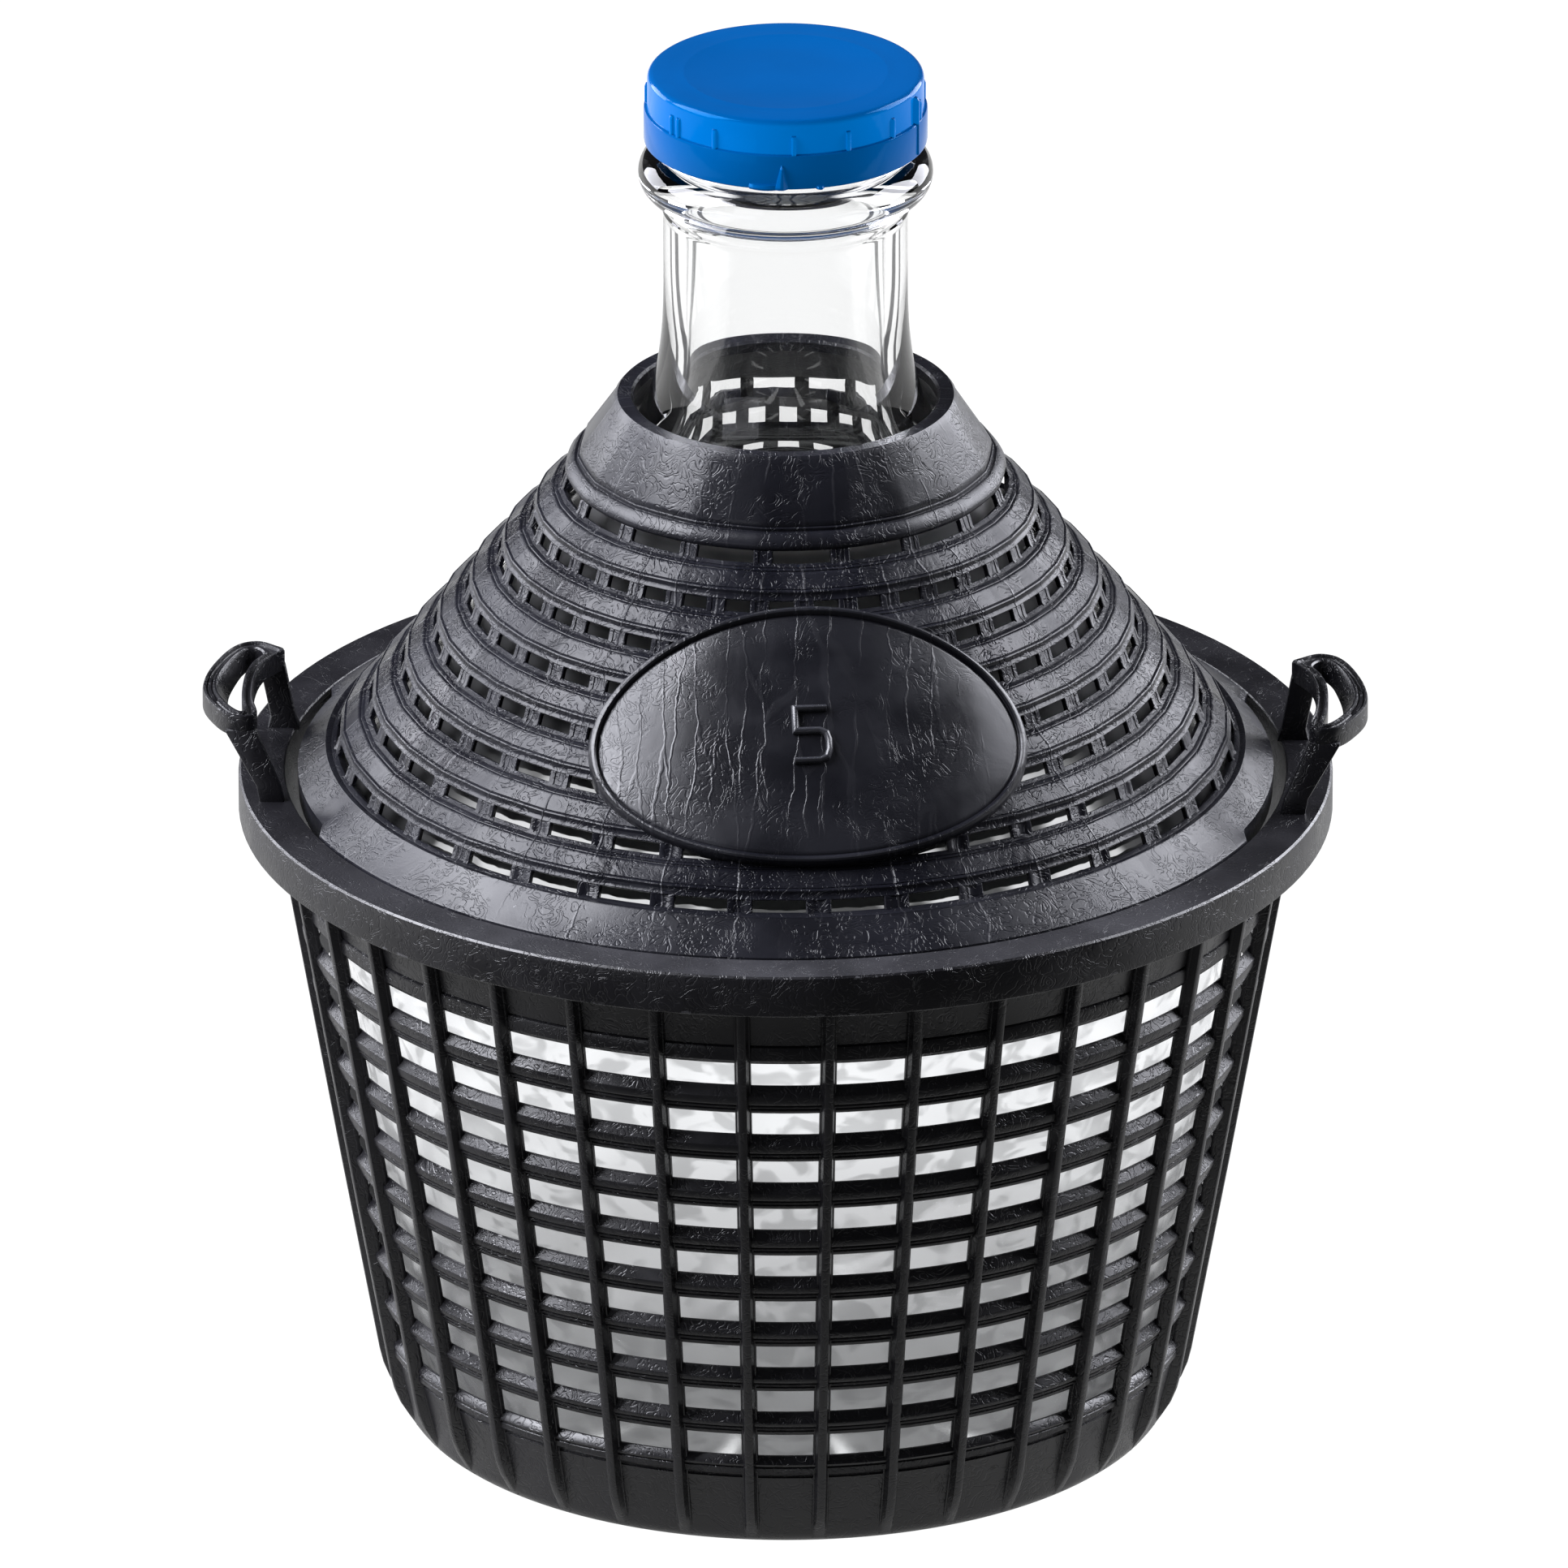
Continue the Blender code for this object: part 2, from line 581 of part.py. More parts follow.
def slot_block(target, row, angle, width):
    """One slot cutter, square to the cone's skin."""
    along = row * ROW_PITCH
    sections = []
    for out in (-2 * COVER_SKIN, BAND_HEIGHT):
        section = []
        for rise in (-SLOT_HEIGHT / 2, SLOT_HEIGHT / 2):
            radius, height = cone_point(along + rise, out)
            ends = (-width / 2, width / 2) if rise < 0 else (width / 2, -width / 2)
            section += [(radius, side, height) for side in ends]
        sections.append(turned(section, angle))
    loft(target, sections)


def slot_cutters():
    """All slots: wide ones in the top row, then one in each facet of the cone, save under the plaque."""
    made = bmesh.new()
    facet = 2 * math.pi / COVER_SEGMENTS
    for column in range(COVER_SEGMENTS // 2):
        slot_block(made, 0, FRONT + COVER_TURN + 2 * facet * column, TOP_SLOT_WIDTH)
    for row in range(1, SLOT_ROWS):
        radius, height = cone_point(row * ROW_PITCH)
        width = 2 * radius * math.sin(facet / 2) - PILLAR_WIDTH
        for column in range(COVER_SEGMENTS):
            middle = facet * (column + 0.5)
            ends = [turned([(radius * math.cos(facet / 2), side * width / 2, height)], FRONT + middle)[0]
                    for side in (-1, 0, 1)]
            if any(inside_plaque(end) for end in ends):
                continue
            slot_block(made, row, FRONT + COVER_TURN + middle, width)
    return made


def notch_cutters():
    """Relief in the cover's foot flange behind each handle."""
    made = bmesh.new()
    inner = COVER_BASE_RADIUS - HANDLE_NOTCH_DEPTH
    outer = COVER_BASE_RADIUS + MM
    steps = 6
    for middle in (0.0, math.pi):
        sections = []
        for step in range(steps + 1):
            angle = middle + HANDLE_TURN + HANDLE_NOTCH_ANGLE * (2 * step / steps - 1)
            section = [(inner, 0, COVER_BASE - MM), (outer, 0, COVER_BASE - MM),
                       (outer, 0, BASKET_HEIGHT + 4 * MM), (inner, 0, BASKET_HEIGHT + 4 * MM)]
            sections.append(turned(section, angle))
        loft(made, sections)
    return made


def make_cover(finish):
    """The cone cover: stepped and slotted, with its plaque, collar and spigot."""
    cover = add_object("cone_cover", lathe(cover_profile(), COVER_SEGMENTS, FRONT + COVER_TURN), finish)
    combine(cover, add_object("cover_slots", slot_cutters()), 'DIFFERENCE')
    combine(cover, add_object("cover_plaque", plaque_solid()), 'UNION')
    combine(cover, add_object("cover_notches", notch_cutters()), 'DIFFERENCE')
    smooth(cover, 20)
    return cover


# Bottle

def bottle_outside():
    """Outer section of the bottle from the middle of its foot up to the edge of its mouth."""
    foot = BOTTLE_FOOT
    heel = HEEL_OUTER_RADIUS
    belly = BELLY_RADIUS
    neck = NECK_RADIUS
    ring = heel - STANDING_RING_INSET
    shoulder = COVER_SKIN + SHOULDER_CLEARANCE
    sweep = BEAD_SWEEP
    bead = arc((BEAD_RADIUS - BEAD_HALF_THICKNESS, BEAD_HEIGHT), BEAD_HALF_THICKNESS, -sweep, sweep, 3)
    return [
        (0.0, foot + PUSH_UP),
        (ring - STANDING_RING_WIDTH - PUSH_UP, foot + PUSH_UP / 2),
        (ring - STANDING_RING_WIDTH, foot),
        (ring, foot),
        (heel - STANDING_RING_INSET / 4, foot + HEEL_RISE * 0.4),
        (heel, foot + HEEL_RISE),
        (belly - BELLY_CROWN, BELLY_HEIGHT - BELLY_SPAN),
        (belly, BELLY_HEIGHT),
        (belly - BELLY_CROWN, BELLY_HEIGHT + BELLY_SPAN * 0.8),
        cone_point(LAST_ROW_DROP - COVER_SKIN, -shoulder - SHOULDER_CLEARANCE / 2),
        cone_point(ROW_PITCH, -shoulder),
        (COLLAR_FOOT_RADIUS - 2 * COLLAR_WALL, TOP_ROW_HEIGHT + PUSH_UP / 3),
        (neck + NECK_FLARE, TOP_ROW_HEIGHT + COLLAR_RISE / 2),
        (neck + NECK_FLARE * FLARE_AT_COLLAR, COLLAR_TOP - COLLAR_WALL),
        (neck + NECK_FLARE * FLARE_ABOVE_COLLAR, COLLAR_TOP + BEAD_RISE * FLARE_END),
        (neck, COLLAR_TOP + BEAD_RISE / 2),
        (neck, BEAD_HEIGHT - BEAD_HALF_THICKNESS - COLLAR_WALL),
        *bead,
        (FINISH_RADIUS, BEAD_HEIGHT + BEAD_HALF_THICKNESS + EDGE_BREAK),
        (FINISH_RADIUS, MOUTH_TOP - EDGE_BREAK),
        (FINISH_RADIUS - EDGE_BREAK, MOUTH_TOP),
    ]


def bottle_inside():
    """Inner section of the bottle from the edge of its mouth down to the middle of its foot."""
    bore = NECK_RADIUS - NECK_WALL
    wall = BODY_WALL
    belly = BELLY_RADIUS - wall
    heel = HEEL_OUTER_RADIUS - wall
    shoulder = COVER_SKIN + SHOULDER_CLEARANCE + wall
    return [
        (bore + EDGE_BREAK, MOUTH_TOP),
        (bore, MOUTH_TOP - EDGE_BREAK),
        (bore, COLLAR_TOP + BEAD_RISE * BORE_FLARE_END),
        (bore + NECK_FLARE * BORE_FLARE_AT_COLLAR, COLLAR_TOP),
        (bore + NECK_FLARE * BORE_FLARE_BELOW_COLLAR, TOP_ROW_HEIGHT),
        cone_point(ROW_PITCH, -shoulder),
        cone_point(LAST_ROW_DROP - COVER_SKIN, -shoulder - SHOULDER_CLEARANCE / 2),
        (belly - BELLY_CROWN, BELLY_HEIGHT + BELLY_SPAN * 0.7),
        (belly, BELLY_HEIGHT),
        (belly - BELLY_CROWN, BELLY_HEIGHT - BELLY_SPAN),
        (heel, BOTTLE_FOOT + HEEL_RISE),
        (heel - wall * 2, BOTTLE_FOOT + wall * 1.5),
        (heel - STANDING_RING_INSET - wall, BOTTLE_FOOT + PUSH_UP / 2 + wall),
        (0.0, BOTTLE_FOOT + PUSH_UP + wall),
    ]


def make_bottle(finish):
    """The glass bottle: one open-mouthed shell."""
    bottle = add_object("glass_bottle", lathe(bottle_outside() + bottle_inside(), GLASS_SEGMENTS), finish)
    smooth(bottle, 35)
    return bottle


# Screw cap and liner

def cap_profile():
    """Section through the cap: skirt, ledge, upper band and rounded top edge."""
    low = CAP_TOP - CAP_HEIGHT
    ledge = low + CAP_SKIRT_HEIGHT
    edge = arc((CAP_BAND_RADIUS - CAP_EDGE_RADIUS, CAP_TOP - CAP_EDGE_RADIUS), CAP_EDGE_RADIUS, 0.0, 90.0, 3)
    return [
        (CAP_SKIRT_RADIUS - CAP_WALL, low),
        (CAP_SKIRT_RADIUS, low),
        (CAP_SKIRT_RADIUS, ledge),
        (CAP_BAND_RADIUS, ledge + CAP_STEP / 2),
        *edge,
        (0.0, CAP_TOP),
        (0.0, CAP_UNDERSIDE),
        (CAP_BORE_RADIUS, CAP_UNDERSIDE),
        (CAP_BORE_RADIUS, ledge),
    ]


def cap_ribs():
    """Short grip ribs that rise from the ledge of the cap."""
    made = bmesh.new()
    ledge = CAP_TOP - CAP_HEIGHT + CAP_SKIRT_HEIGHT
    inner = CAP_BAND_RADIUS - CAP_WALL / 2
    outer = CAP_BAND_RADIUS + CAP_RIB_DEPTH
    half = CAP_RIB_WIDTH / 2
    for rib in range(CAP_RIB_COUNT):
        sections = []
        for height, out in ((ledge - CAP_WALL / 2, outer), (ledge + CAP_RIB_HEIGHT - CAP_RIB_DEPTH, outer),
                            (ledge + CAP_RIB_HEIGHT, CAP_BAND_RADIUS)):
            section = [(inner, -half, height), (out, -half, height), (out, half, height), (inner, half, height)]
            sections.append(turned(section, FRONT + CAP_RIB_START + 2 * math.pi * rib / CAP_RIB_COUNT))
        loft(made, sections)
    return made


def make_cap(finish):
    """The screw cap with its grip ribs."""
    cap = add_object("screw_cap", lathe(cap_profile(), CAP_SEGMENTS), finish)
    combine(cap, add_object("cap_ribs", cap_ribs()), 'UNION')
    smooth(cap, 30)
    return cap


def make_liner(finish):
    """The sealing disc between the cap and the mouth of the bottle."""
    radius = CAP_BORE_RADIUS - LINER_FIT
    top = LINER_BOTTOM + LINER_THICKNESS
    profile = [(0.0, LINER_BOTTOM), (radius, LINER_BOTTOM), (radius, top), (0.0, top)]
    liner = add_object("cap_liner", lathe(profile, CAP_SEGMENTS // 2), finish)
    smooth(liner, 30)
    return liner


def main():
    """Clear the scene and build the five pieces."""
    for old in list(bpy.data.objects):
        bpy.data.objects.remove(old)
    black = material("black_basket_plastic", (0.016, 0.016, 0.019), 0.45)
    grey = material("black_cover_plastic", (0.022, 0.023, 0.027), 0.38)
    glass = material("clear_glass", (0.93, 0.97, 0.96), 0.02, transmission=1.0)
    blue = material("blue_cap_plastic", (0.0, 0.13, 0.55), 0.3)
    pale = material("pale_liner_foam", (0.82, 0.82, 0.78), 0.6)
    make_basket(black)
    make_bottle(glass)
    make_cover(grey)
    make_liner(pale)
    make_cap(blue)


main()
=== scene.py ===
"""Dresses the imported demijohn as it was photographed.

A glass bottle stands in a moulded lattice basket, under a slotted cone cover, and is closed by a
screw cap. Each sub-assembly is a class that holds its sizes and models its pieces; sizes are metres.
"""
import logging
import math
from dataclasses import dataclass
from enum import Enum
from typing import Callable, Optional, Sequence, Union

import bmesh
import bpy
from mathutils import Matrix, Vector


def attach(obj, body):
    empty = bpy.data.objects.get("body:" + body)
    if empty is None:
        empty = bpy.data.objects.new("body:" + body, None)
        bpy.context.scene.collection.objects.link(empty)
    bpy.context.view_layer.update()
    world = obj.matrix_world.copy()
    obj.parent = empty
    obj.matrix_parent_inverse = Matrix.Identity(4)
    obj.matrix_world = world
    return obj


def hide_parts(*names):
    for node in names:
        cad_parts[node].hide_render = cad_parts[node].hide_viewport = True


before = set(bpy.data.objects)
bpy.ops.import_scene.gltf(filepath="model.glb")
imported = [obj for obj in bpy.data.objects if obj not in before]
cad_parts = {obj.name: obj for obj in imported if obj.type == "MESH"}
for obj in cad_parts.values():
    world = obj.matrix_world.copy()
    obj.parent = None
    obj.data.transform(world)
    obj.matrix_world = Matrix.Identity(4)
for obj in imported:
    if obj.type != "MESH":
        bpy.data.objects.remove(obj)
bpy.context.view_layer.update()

LOG = logging.getLogger("demijohn")

MM = 0.001
FRONT = -math.pi / 2
TURN_STEPS = 144
MERGE_DISTANCE = 2e-6
COVER_TURN = math.radians(4.2)
CAP_LEDGE = 311.3 * MM
BLACK = (0.0, 0.0, 0.0, 1.0)
WHITE = (1.0, 1.0, 1.0, 1.0)

Point = tuple[float, float]
Place = tuple[float, float, float]
Colour = tuple[float, float, float]
Outline = Sequence[Point]
Piece = bpy.types.Object
Material = bpy.types.Material
Node = bpy.types.Node
Socket = bpy.types.NodeSocket
Source = Union[Socket, float, Sequence[float]]


class Slot(Enum):
    """Material slots of the record that the finishes stand for."""

    BASKET = "basket_plastic"
    GLASS = "bottle_glass"
    COVER = "cover_plastic"
    LINER = "liner_foam"
    CAP = "cap_plastic"


class Body(Enum):
    """Bodies of the frame that the pieces ride on."""

    BASKET = "basket"
    BOTTLE = "bottle"
    COVER = "cover"
    LINER = "liner"
    CAP = "cap"


class Side(Enum):
    """Sides of the object, with the sign of their X."""

    LEFT = -1
    RIGHT = 1


def alone(piece: Piece) -> None:
    """Select one object and nothing else.

    Args:
        piece: the object.
    """
    bpy.ops.object.select_all(action='DESELECT')
    piece.select_set(True)
    bpy.context.view_layer.objects.active = piece


def wire(points: Sequence[Sequence[float]], fill: str = 'NOTHING') -> Piece:
    """Add a circle and shape it to a closed outline.

    Args:
        points: corners of the outline, in space.
        fill: how the circle is filled, as the operator names it.

    Returns:
        The outline as an object at the origin.
    """
    bpy.ops.object.select_all(action='DESELECT')
    bpy.ops.mesh.primitive_circle_add(vertices=len(points), radius=1.0, fill_type=fill)
    made = bpy.context.object
    for vertex, point in zip(made.data.vertices, points):
        vertex.co = point
    return made


def turned(name: str, outline: Outline, steps: int = TURN_STEPS, start: float = FRONT) -> Piece:
    """Spin a closed section of radius and height once round Z.

    Args:
        name: name of the piece.
        outline: corners of the section.
        steps: facets round the turn.
        start: angle of the first section.

    Returns:
        The closed, outward-facing piece.
    """
    made = wire([(radius * math.cos(start), radius * math.sin(start), height) for radius, height in outline])
    made.name = name
    bpy.ops.object.mode_set(mode='EDIT')
    bpy.ops.mesh.select_all(action='SELECT')
    bpy.ops.mesh.spin(steps=steps, angle=2 * math.pi, center=(0, 0, 0), axis=(0, 0, 1))
    bpy.ops.mesh.select_all(action='SELECT')
    bpy.ops.mesh.remove_doubles(threshold=MERGE_DISTANCE)
    bpy.ops.mesh.delete_loose(use_verts=True, use_edges=True, use_faces=False)
    bpy.ops.mesh.select_all(action='SELECT')
    bpy.ops.mesh.normals_make_consistent(inside=False)
    bpy.ops.object.mode_set(mode='OBJECT')
    return made


def lofted(name: str, sections: Sequence[Sequence[Sequence[float]]]) -> Piece:
    """Extrude a filled section through a row of further sections.

    Args:
        name: name of the piece.
        sections: outlines in space, each with the same number of corners.

    Returns:
        The closed, outward-facing piece.
    """
    made = wire(sections[0], 'NGON')
    made.name = name
    bpy.ops.object.mode_set(mode='EDIT')
    bpy.ops.mesh.select_all(action='SELECT')
    for before, after in zip(sections, sections[1:]):
        bpy.ops.mesh.extrude_region_move()
        shape = bmesh.from_edit_mesh(made.data)
        for vertex in [vertex for vertex in shape.verts if vertex.select]:
            near = min(range(len(before)), key=lambda i: (Vector(before[i]) - vertex.co).length_squared)
            vertex.co = after[near]
        bmesh.update_edit_mesh(made.data)
    bpy.ops.mesh.select_all(action='SELECT')
    bpy.ops.mesh.normals_make_consistent(inside=False)
    bpy.ops.object.mode_set(mode='OBJECT')
    return made


def joined(name: str, pieces: Sequence[Piece]) -> Piece:
    """Join pieces into the first of them.

    Args:
        name: name of the joined piece.
        pieces: one piece or more.

    Returns:
        The joined piece.
    """
    bpy.ops.object.select_all(action='DESELECT')
    for piece in pieces:
        piece.select_set(True)
    bpy.context.view_layer.objects.active = pieces[0]
    if len(pieces) > 1:
        bpy.ops.object.join()
    pieces[0].name = name
    return pieces[0]


def repeated(piece: Piece, count: int) -> Piece:
    """Copy a piece evenly round Z with an Array modifier, and apply it.

    Args:
        piece: the first of the copies.
        count: how many there are in all.

    Returns:
        All copies as one piece.
    """
    bpy.ops.object.select_all(action='DESELECT')
    bpy.ops.object.empty_add(rotation=(0, 0, 2 * math.pi / count))
    guide = bpy.context.object
    alone(piece)
    array = piece.modifiers.new("round", 'ARRAY')
    array.count = count
    array.use_relative_offset = False
    array.use_object_offset = True
    array.offset_object = guide
    bpy.ops.object.modifier_apply(modifier=array.name)
    bpy.data.objects.remove(guide)
    return piece


def bevelled(piece: Piece, width: float) -> Piece:
    """Round the edges of a piece with a Bevel modifier, and apply it.

    Args:
        piece: the piece.
        width: width of the bevel.

    Returns:
        The same piece.
    """
    alone(piece)
    bevel = piece.modifiers.new("edges", 'BEVEL')
    bevel.width = width
    bevel.segments = 2
    bevel.limit_method = 'ANGLE'
    bevel.angle_limit = math.radians(25)
    bpy.ops.object.modifier_apply(modifier=bevel.name)
    return piece


def cut(piece: Piece, cutter: Piece) -> Piece:
    """Take a cutter out of a piece with a Boolean modifier, and apply it.

    Args:
        piece: the piece.
        cutter: what is cut away; it is removed afterwards.

    Returns:
        The same piece.
    """
    alone(piece)
    step = piece.modifiers.new("cut", 'BOOLEAN')
    step.operation = 'DIFFERENCE'
    step.solver = 'EXACT'
    step.object = cutter
    bpy.ops.object.modifier_apply(modifier=step.name)
    bpy.data.objects.remove(cutter)
    return piece


def reshaped(piece: Piece, rule: Callable[[Vector], Vector]) -> Piece:
    """Move every vertex of a piece by a rule, and turn its faces outwards again.

    Args:
        piece: the piece.
        rule: gives the new place of a point.

    Returns:
        The same piece.
    """
    for vertex in piece.data.vertices:
        vertex.co = rule(vertex.co.copy())
    alone(piece)
    bpy.ops.object.mode_set(mode='EDIT')
    bpy.ops.mesh.select_all(action='SELECT')
    bpy.ops.mesh.normals_make_consistent(inside=False)
    bpy.ops.object.mode_set(mode='OBJECT')
    return piece


def around(points: Sequence[Sequence[float]], angle: float) -> list[Place]:
    """Points turned about Z; before the turn, x points outwards and y along the rim."""
    turn, side = math.cos(angle), math.sin(angle)
    return [(x * turn - y * side, x * side + y * turn, z) for x, y, z in points]


def curve_through(points: Sequence[Sequence[float]], steps: int,
                  closed: bool = False) -> list[tuple[float, ...]]:
    """Points on a smooth curve that passes through the given ones.

    Args:
        points: places that the curve passes through.
        steps: pieces that each stretch is cut into.
        closed: whether the curve runs back to its first point.

    Returns:
        The points of the curve, in order.
    """
    count = len(points)
    found = []
    for number in range(count if closed else count - 1):
        near = [points[(number + shift) % count] if closed else points[min(max(number + shift, 0), count - 1)]
                for shift in (-1, 0, 1, 2)]
        for step in range(steps):
            found.append(curve_point(near, step / steps))
    if not closed:
        found.append(tuple(points[-1]))
    return found


def curve_point(near: Sequence[Sequence[float]], share: float) -> tuple[float, ...]:
    """Point between the second and third of four places on a smooth curve.

    Args:
        near: the four places.
        share: how far on it lies, from 0 to 1.

    Returns:
        The point.
    """
    before, here, there, after = near
    return tuple(
        0.5 * (2 * b + (c - a) * share + (2 * a - 5 * b + 4 * c - d) * share ** 2
               + (3 * b - a - 3 * c + d) * share ** 3)
        for a, b, c, d in zip(before, here, there, after))


def beside(radius: float, height: float, steps: Sequence[Point]) -> list[Point]:
    """Points of a section near one corner, each as millimetres outwards and up from it."""
    return [(radius + out * MM, height + up * MM) for out, up in steps]


def arc(centre: Point, radius: float, start: float, end: float, steps: int) -> list[Point]:
    """Points on an arc in a section, with angles in degrees from outwards."""
    turns = [math.radians(start + (end - start) * step / steps) for step in range(steps + 1)]
    return [(centre[0] + radius * math.cos(turn), centre[1] + radius * math.sin(turn)) for turn in turns]


def faceted(piece: Piece, count: int, edge: float, share: Callable[[float], float]) -> Piece:
    """Flatten a turned piece between the facet edges of its mould.

    Args:
        piece: the turned piece.
        count: facets round the turn.
        edge: angle of one facet edge.
        share: how far the facets are drawn flat at a height, from 0 to 1.

    Returns:
        The same piece.
    """
    facet = 2 * math.pi / count

    def flatten(place: Vector) -> Vector:
        """Draw one point in towards the chord of its facet.

        Args:
            place: the point.

        Returns:
            Its new place.
        """
        within = (math.atan2(place.y, place.x) - edge) % facet - facet / 2
        chord = math.cos(facet / 2) / math.cos(within)
        scale = 1 - share(place.z) * (1 - chord)
        return Vector((place.x * scale, place.y * scale, place.z))

    return reshaped(piece, flatten)


def rgba(colour: Colour, factor: float = 1.0) -> tuple[float, float, float, float]:
    """A colour with full alpha, made darker or brighter by a factor."""
    return (*(value * factor for value in colour), 1.0)


class Tree:
    """Short spellings for the nodes of one shader tree."""

    def __init__(self, tree: bpy.types.NodeTree) -> None:
        """Take the tree that the nodes go into."""
        self.tree = tree

    def fill(self, socket: Socket, value: Source) -> None:
        """Give a socket its plain value, or link it to its source.

        Args:
            socket: the socket.
            value: a number, vector or colour, or the socket that it comes from.
        """
        if isinstance(value, bpy.types.NodeSocket):
            self.tree.links.new(value, socket)
        else:
            socket.default_value = value

    def node(self, kind: str, sockets: Optional[dict] = None, **settings: Union[str, bool]) -> Node:
        """Add a node, set its properties and fill its sockets.

        Args:
            kind: the node's type, without the word ShaderNode.
            sockets: value or source of each named or numbered input.
            **settings: properties of the node itself.

        Returns:
            The node.
        """
        made = self.tree.nodes.new("ShaderNode" + kind)
        for key, value in settings.items():
            setattr(made, key, value)
        for key, value in (sockets or {}).items():
            self.fill(made.inputs[key], value)
        return made

    def math(self, operation: str, first: Source, second: Source = 0.0, clamp: bool = False) -> Socket:
        """Add one Math node and return its result."""
        return self.node("Math", {0: first, 1: second}, operation=operation, use_clamp=clamp).outputs[0]

    def product(self, *values: Source) -> Socket:
        """Multiply values in their order.

        Args:
            *values: two values or more.

        Returns:
            Their product.
        """
        total = values[0]
        for value in values[1:]:
            total = self.math('MULTIPLY', total, value)
        return total

    def most(self, first: Source, second: Source) -> Socket:
        """The larger of two values."""
        return self.math('MAXIMUM', first, second)

    def inverse(self, value: Source) -> Socket:
        """What a mask leaves free."""
        return self.math('SUBTRACT', 1.0, value)

    def length(self, first: Source, second: Source) -> Socket:
        """Length of a line with two components."""
        pair = self.node("CombineXYZ", {0: first, 1: second}).outputs[0]
        return self.node("VectorMath", {0: pair}, operation='LENGTH').outputs["Value"]

    def ramp(self, value: Source, low: float, high: float, start: float = 0.0, end: float = 1.0) -> Socket:
        """Map a value smoothly from one range to another."""
        sockets = {0: value, 1: low, 2: high, 3: start, 4: end}
        return self.node("MapRange", sockets, interpolation_type='SMOOTHSTEP').outputs[0]

    def band(self, value: Source, rise: Point, fall: Point) -> Socket:
        """Mask that rises over one stretch of a value and falls over another."""
        return self.product(self.ramp(value, *rise), self.ramp(value, *fall))

    def mix(self, share: Source, first: Source, second: Source) -> Socket:
        """Mix two colours.

        Args:
            share: how much of the second colour is taken, from 0 to 1.
            first: the first colour.
            second: the second colour.

        Returns:
            The mixed colour.
        """
        made = self.node("Mix", data_type='RGBA')
        for number, value in ((0, share), (6, first), (7, second)):
            self.fill(made.inputs[number], value)
        return made.outputs[2]

    def noise(self, place: Socket, scale: Source, detail: float = 2.0, distortion: float = 0.0,
              output: str = "Fac") -> Socket:
        """Add a Noise Texture node and return one of its outputs."""
        sockets = {"Vector": place, "Scale": scale, "Detail": detail, "Distortion": distortion}
        return self.node("TexNoise", sockets).outputs[output]

    def mapped(self, place: Socket, scale: Colour, turn: Colour = (0.0, 0.0, 0.0)) -> Socket:
        """Coordinates turned and scaled."""
        return self.node("Mapping", {0: place, 2: turn, 3: scale}).outputs[0]

    def swayed(self, place: Socket, scale: float, detail: float, reach: float) -> Socket:
        """Coordinates pushed about by a noise.

        Args:
            place: the coordinates.
            scale: scale of the noise.
            detail: its detail.
            reach: how far it pushes, in metres.

        Returns:
            The pushed coordinates.
        """
        push = {0: self.noise(place, scale, detail, output="Color"), 1: (reach, reach, reach)}
        sway = self.node("VectorMath", push, operation='MULTIPLY').outputs[0]
        return self.node("VectorMath", {0: place, 1: sway}, operation='ADD').outputs[0]

    def bump(self, height: Source, distance: float, under: Optional[Socket] = None) -> Socket:
        """Raise a pattern from the surface.

        Args:
            height: the pattern.
            distance: how far it stands up, in metres.
            under: normal that already has another pattern, if any.

        Returns:
            The bumped normal.
        """
        made = self.node("Bump", {"Height": height, "Strength": 1.0, "Distance": distance})
        if under is not None:
            self.fill(made.inputs["Normal"], under)
        return made.outputs[0]

    def group(self, tree: bpy.types.NodeTree, sockets: dict[str, float]) -> Node:
        """Place a node group.

        Args:
            tree: the group's own tree.
            sockets: value of each named input.

        Returns:
            The node.
        """
        made = self.tree.nodes.new("ShaderNodeGroup")
        made.node_tree = tree
        for key, value in sockets.items():
            self.fill(made.inputs[key], value)
        return made


class Surface(Tree):
    """The nodes of one new material, with its surface shader and object coordinates."""

    def __init__(self, name: str, gloss: float) -> None:
        """Start the material.

        Args:
            name: its name.
            gloss: its specular level.
        """
        self.material = bpy.data.materials.new(name)
        self.material.use_nodes = True
        super().__init__(self.material.node_tree)
        self.shader = self.tree.nodes["Principled BSDF"]
        self.place = self.node("TexCoord").outputs["Object"]
        self.give("Specular IOR Level", gloss)

    def give(self, socket: str, value: Source) -> None:
        """Fill one socket of the surface shader."""
        self.fill(self.shader.inputs[socket], value)

    def axis(self, number: int) -> Socket:
        """One of the object coordinates."""
        return self.node("SeparateXYZ", {0: self.place}).outputs[number]

    def upward(self, output: str) -> Socket:
        """How far one of the geometry's normals points up."""
        return self.node("SeparateXYZ", {0: self.node("NewGeometry").outputs[output]}).outputs[2]


class Effect(Tree):
    """One node group with float sockets, open for its nodes."""

    def __init__(self, name: str, inputs: dict[str, float], outputs: Sequence[str]) -> None:
        """Make the group and its sockets.

        Args:
            name: name of the group.
            inputs: default of each named input.
            outputs: name of each output.
        """
        super().__init__(bpy.data.node_groups.new(name, 'ShaderNodeTree'))
        sockets, kind = self.tree.interface, 'NodeSocketFloat'
        for label, value in inputs.items():
            sockets.new_socket(label, in_out='INPUT', socket_type=kind).default_value = value
        for label in outputs:
            sockets.new_socket(label, in_out='OUTPUT', socket_type=kind)
        self.given = self.tree.nodes.new("NodeGroupInput").outputs
        self.result = self.tree.nodes.new("NodeGroupOutput").inputs
        self.place = self.node("TexCoord").outputs["Object"]


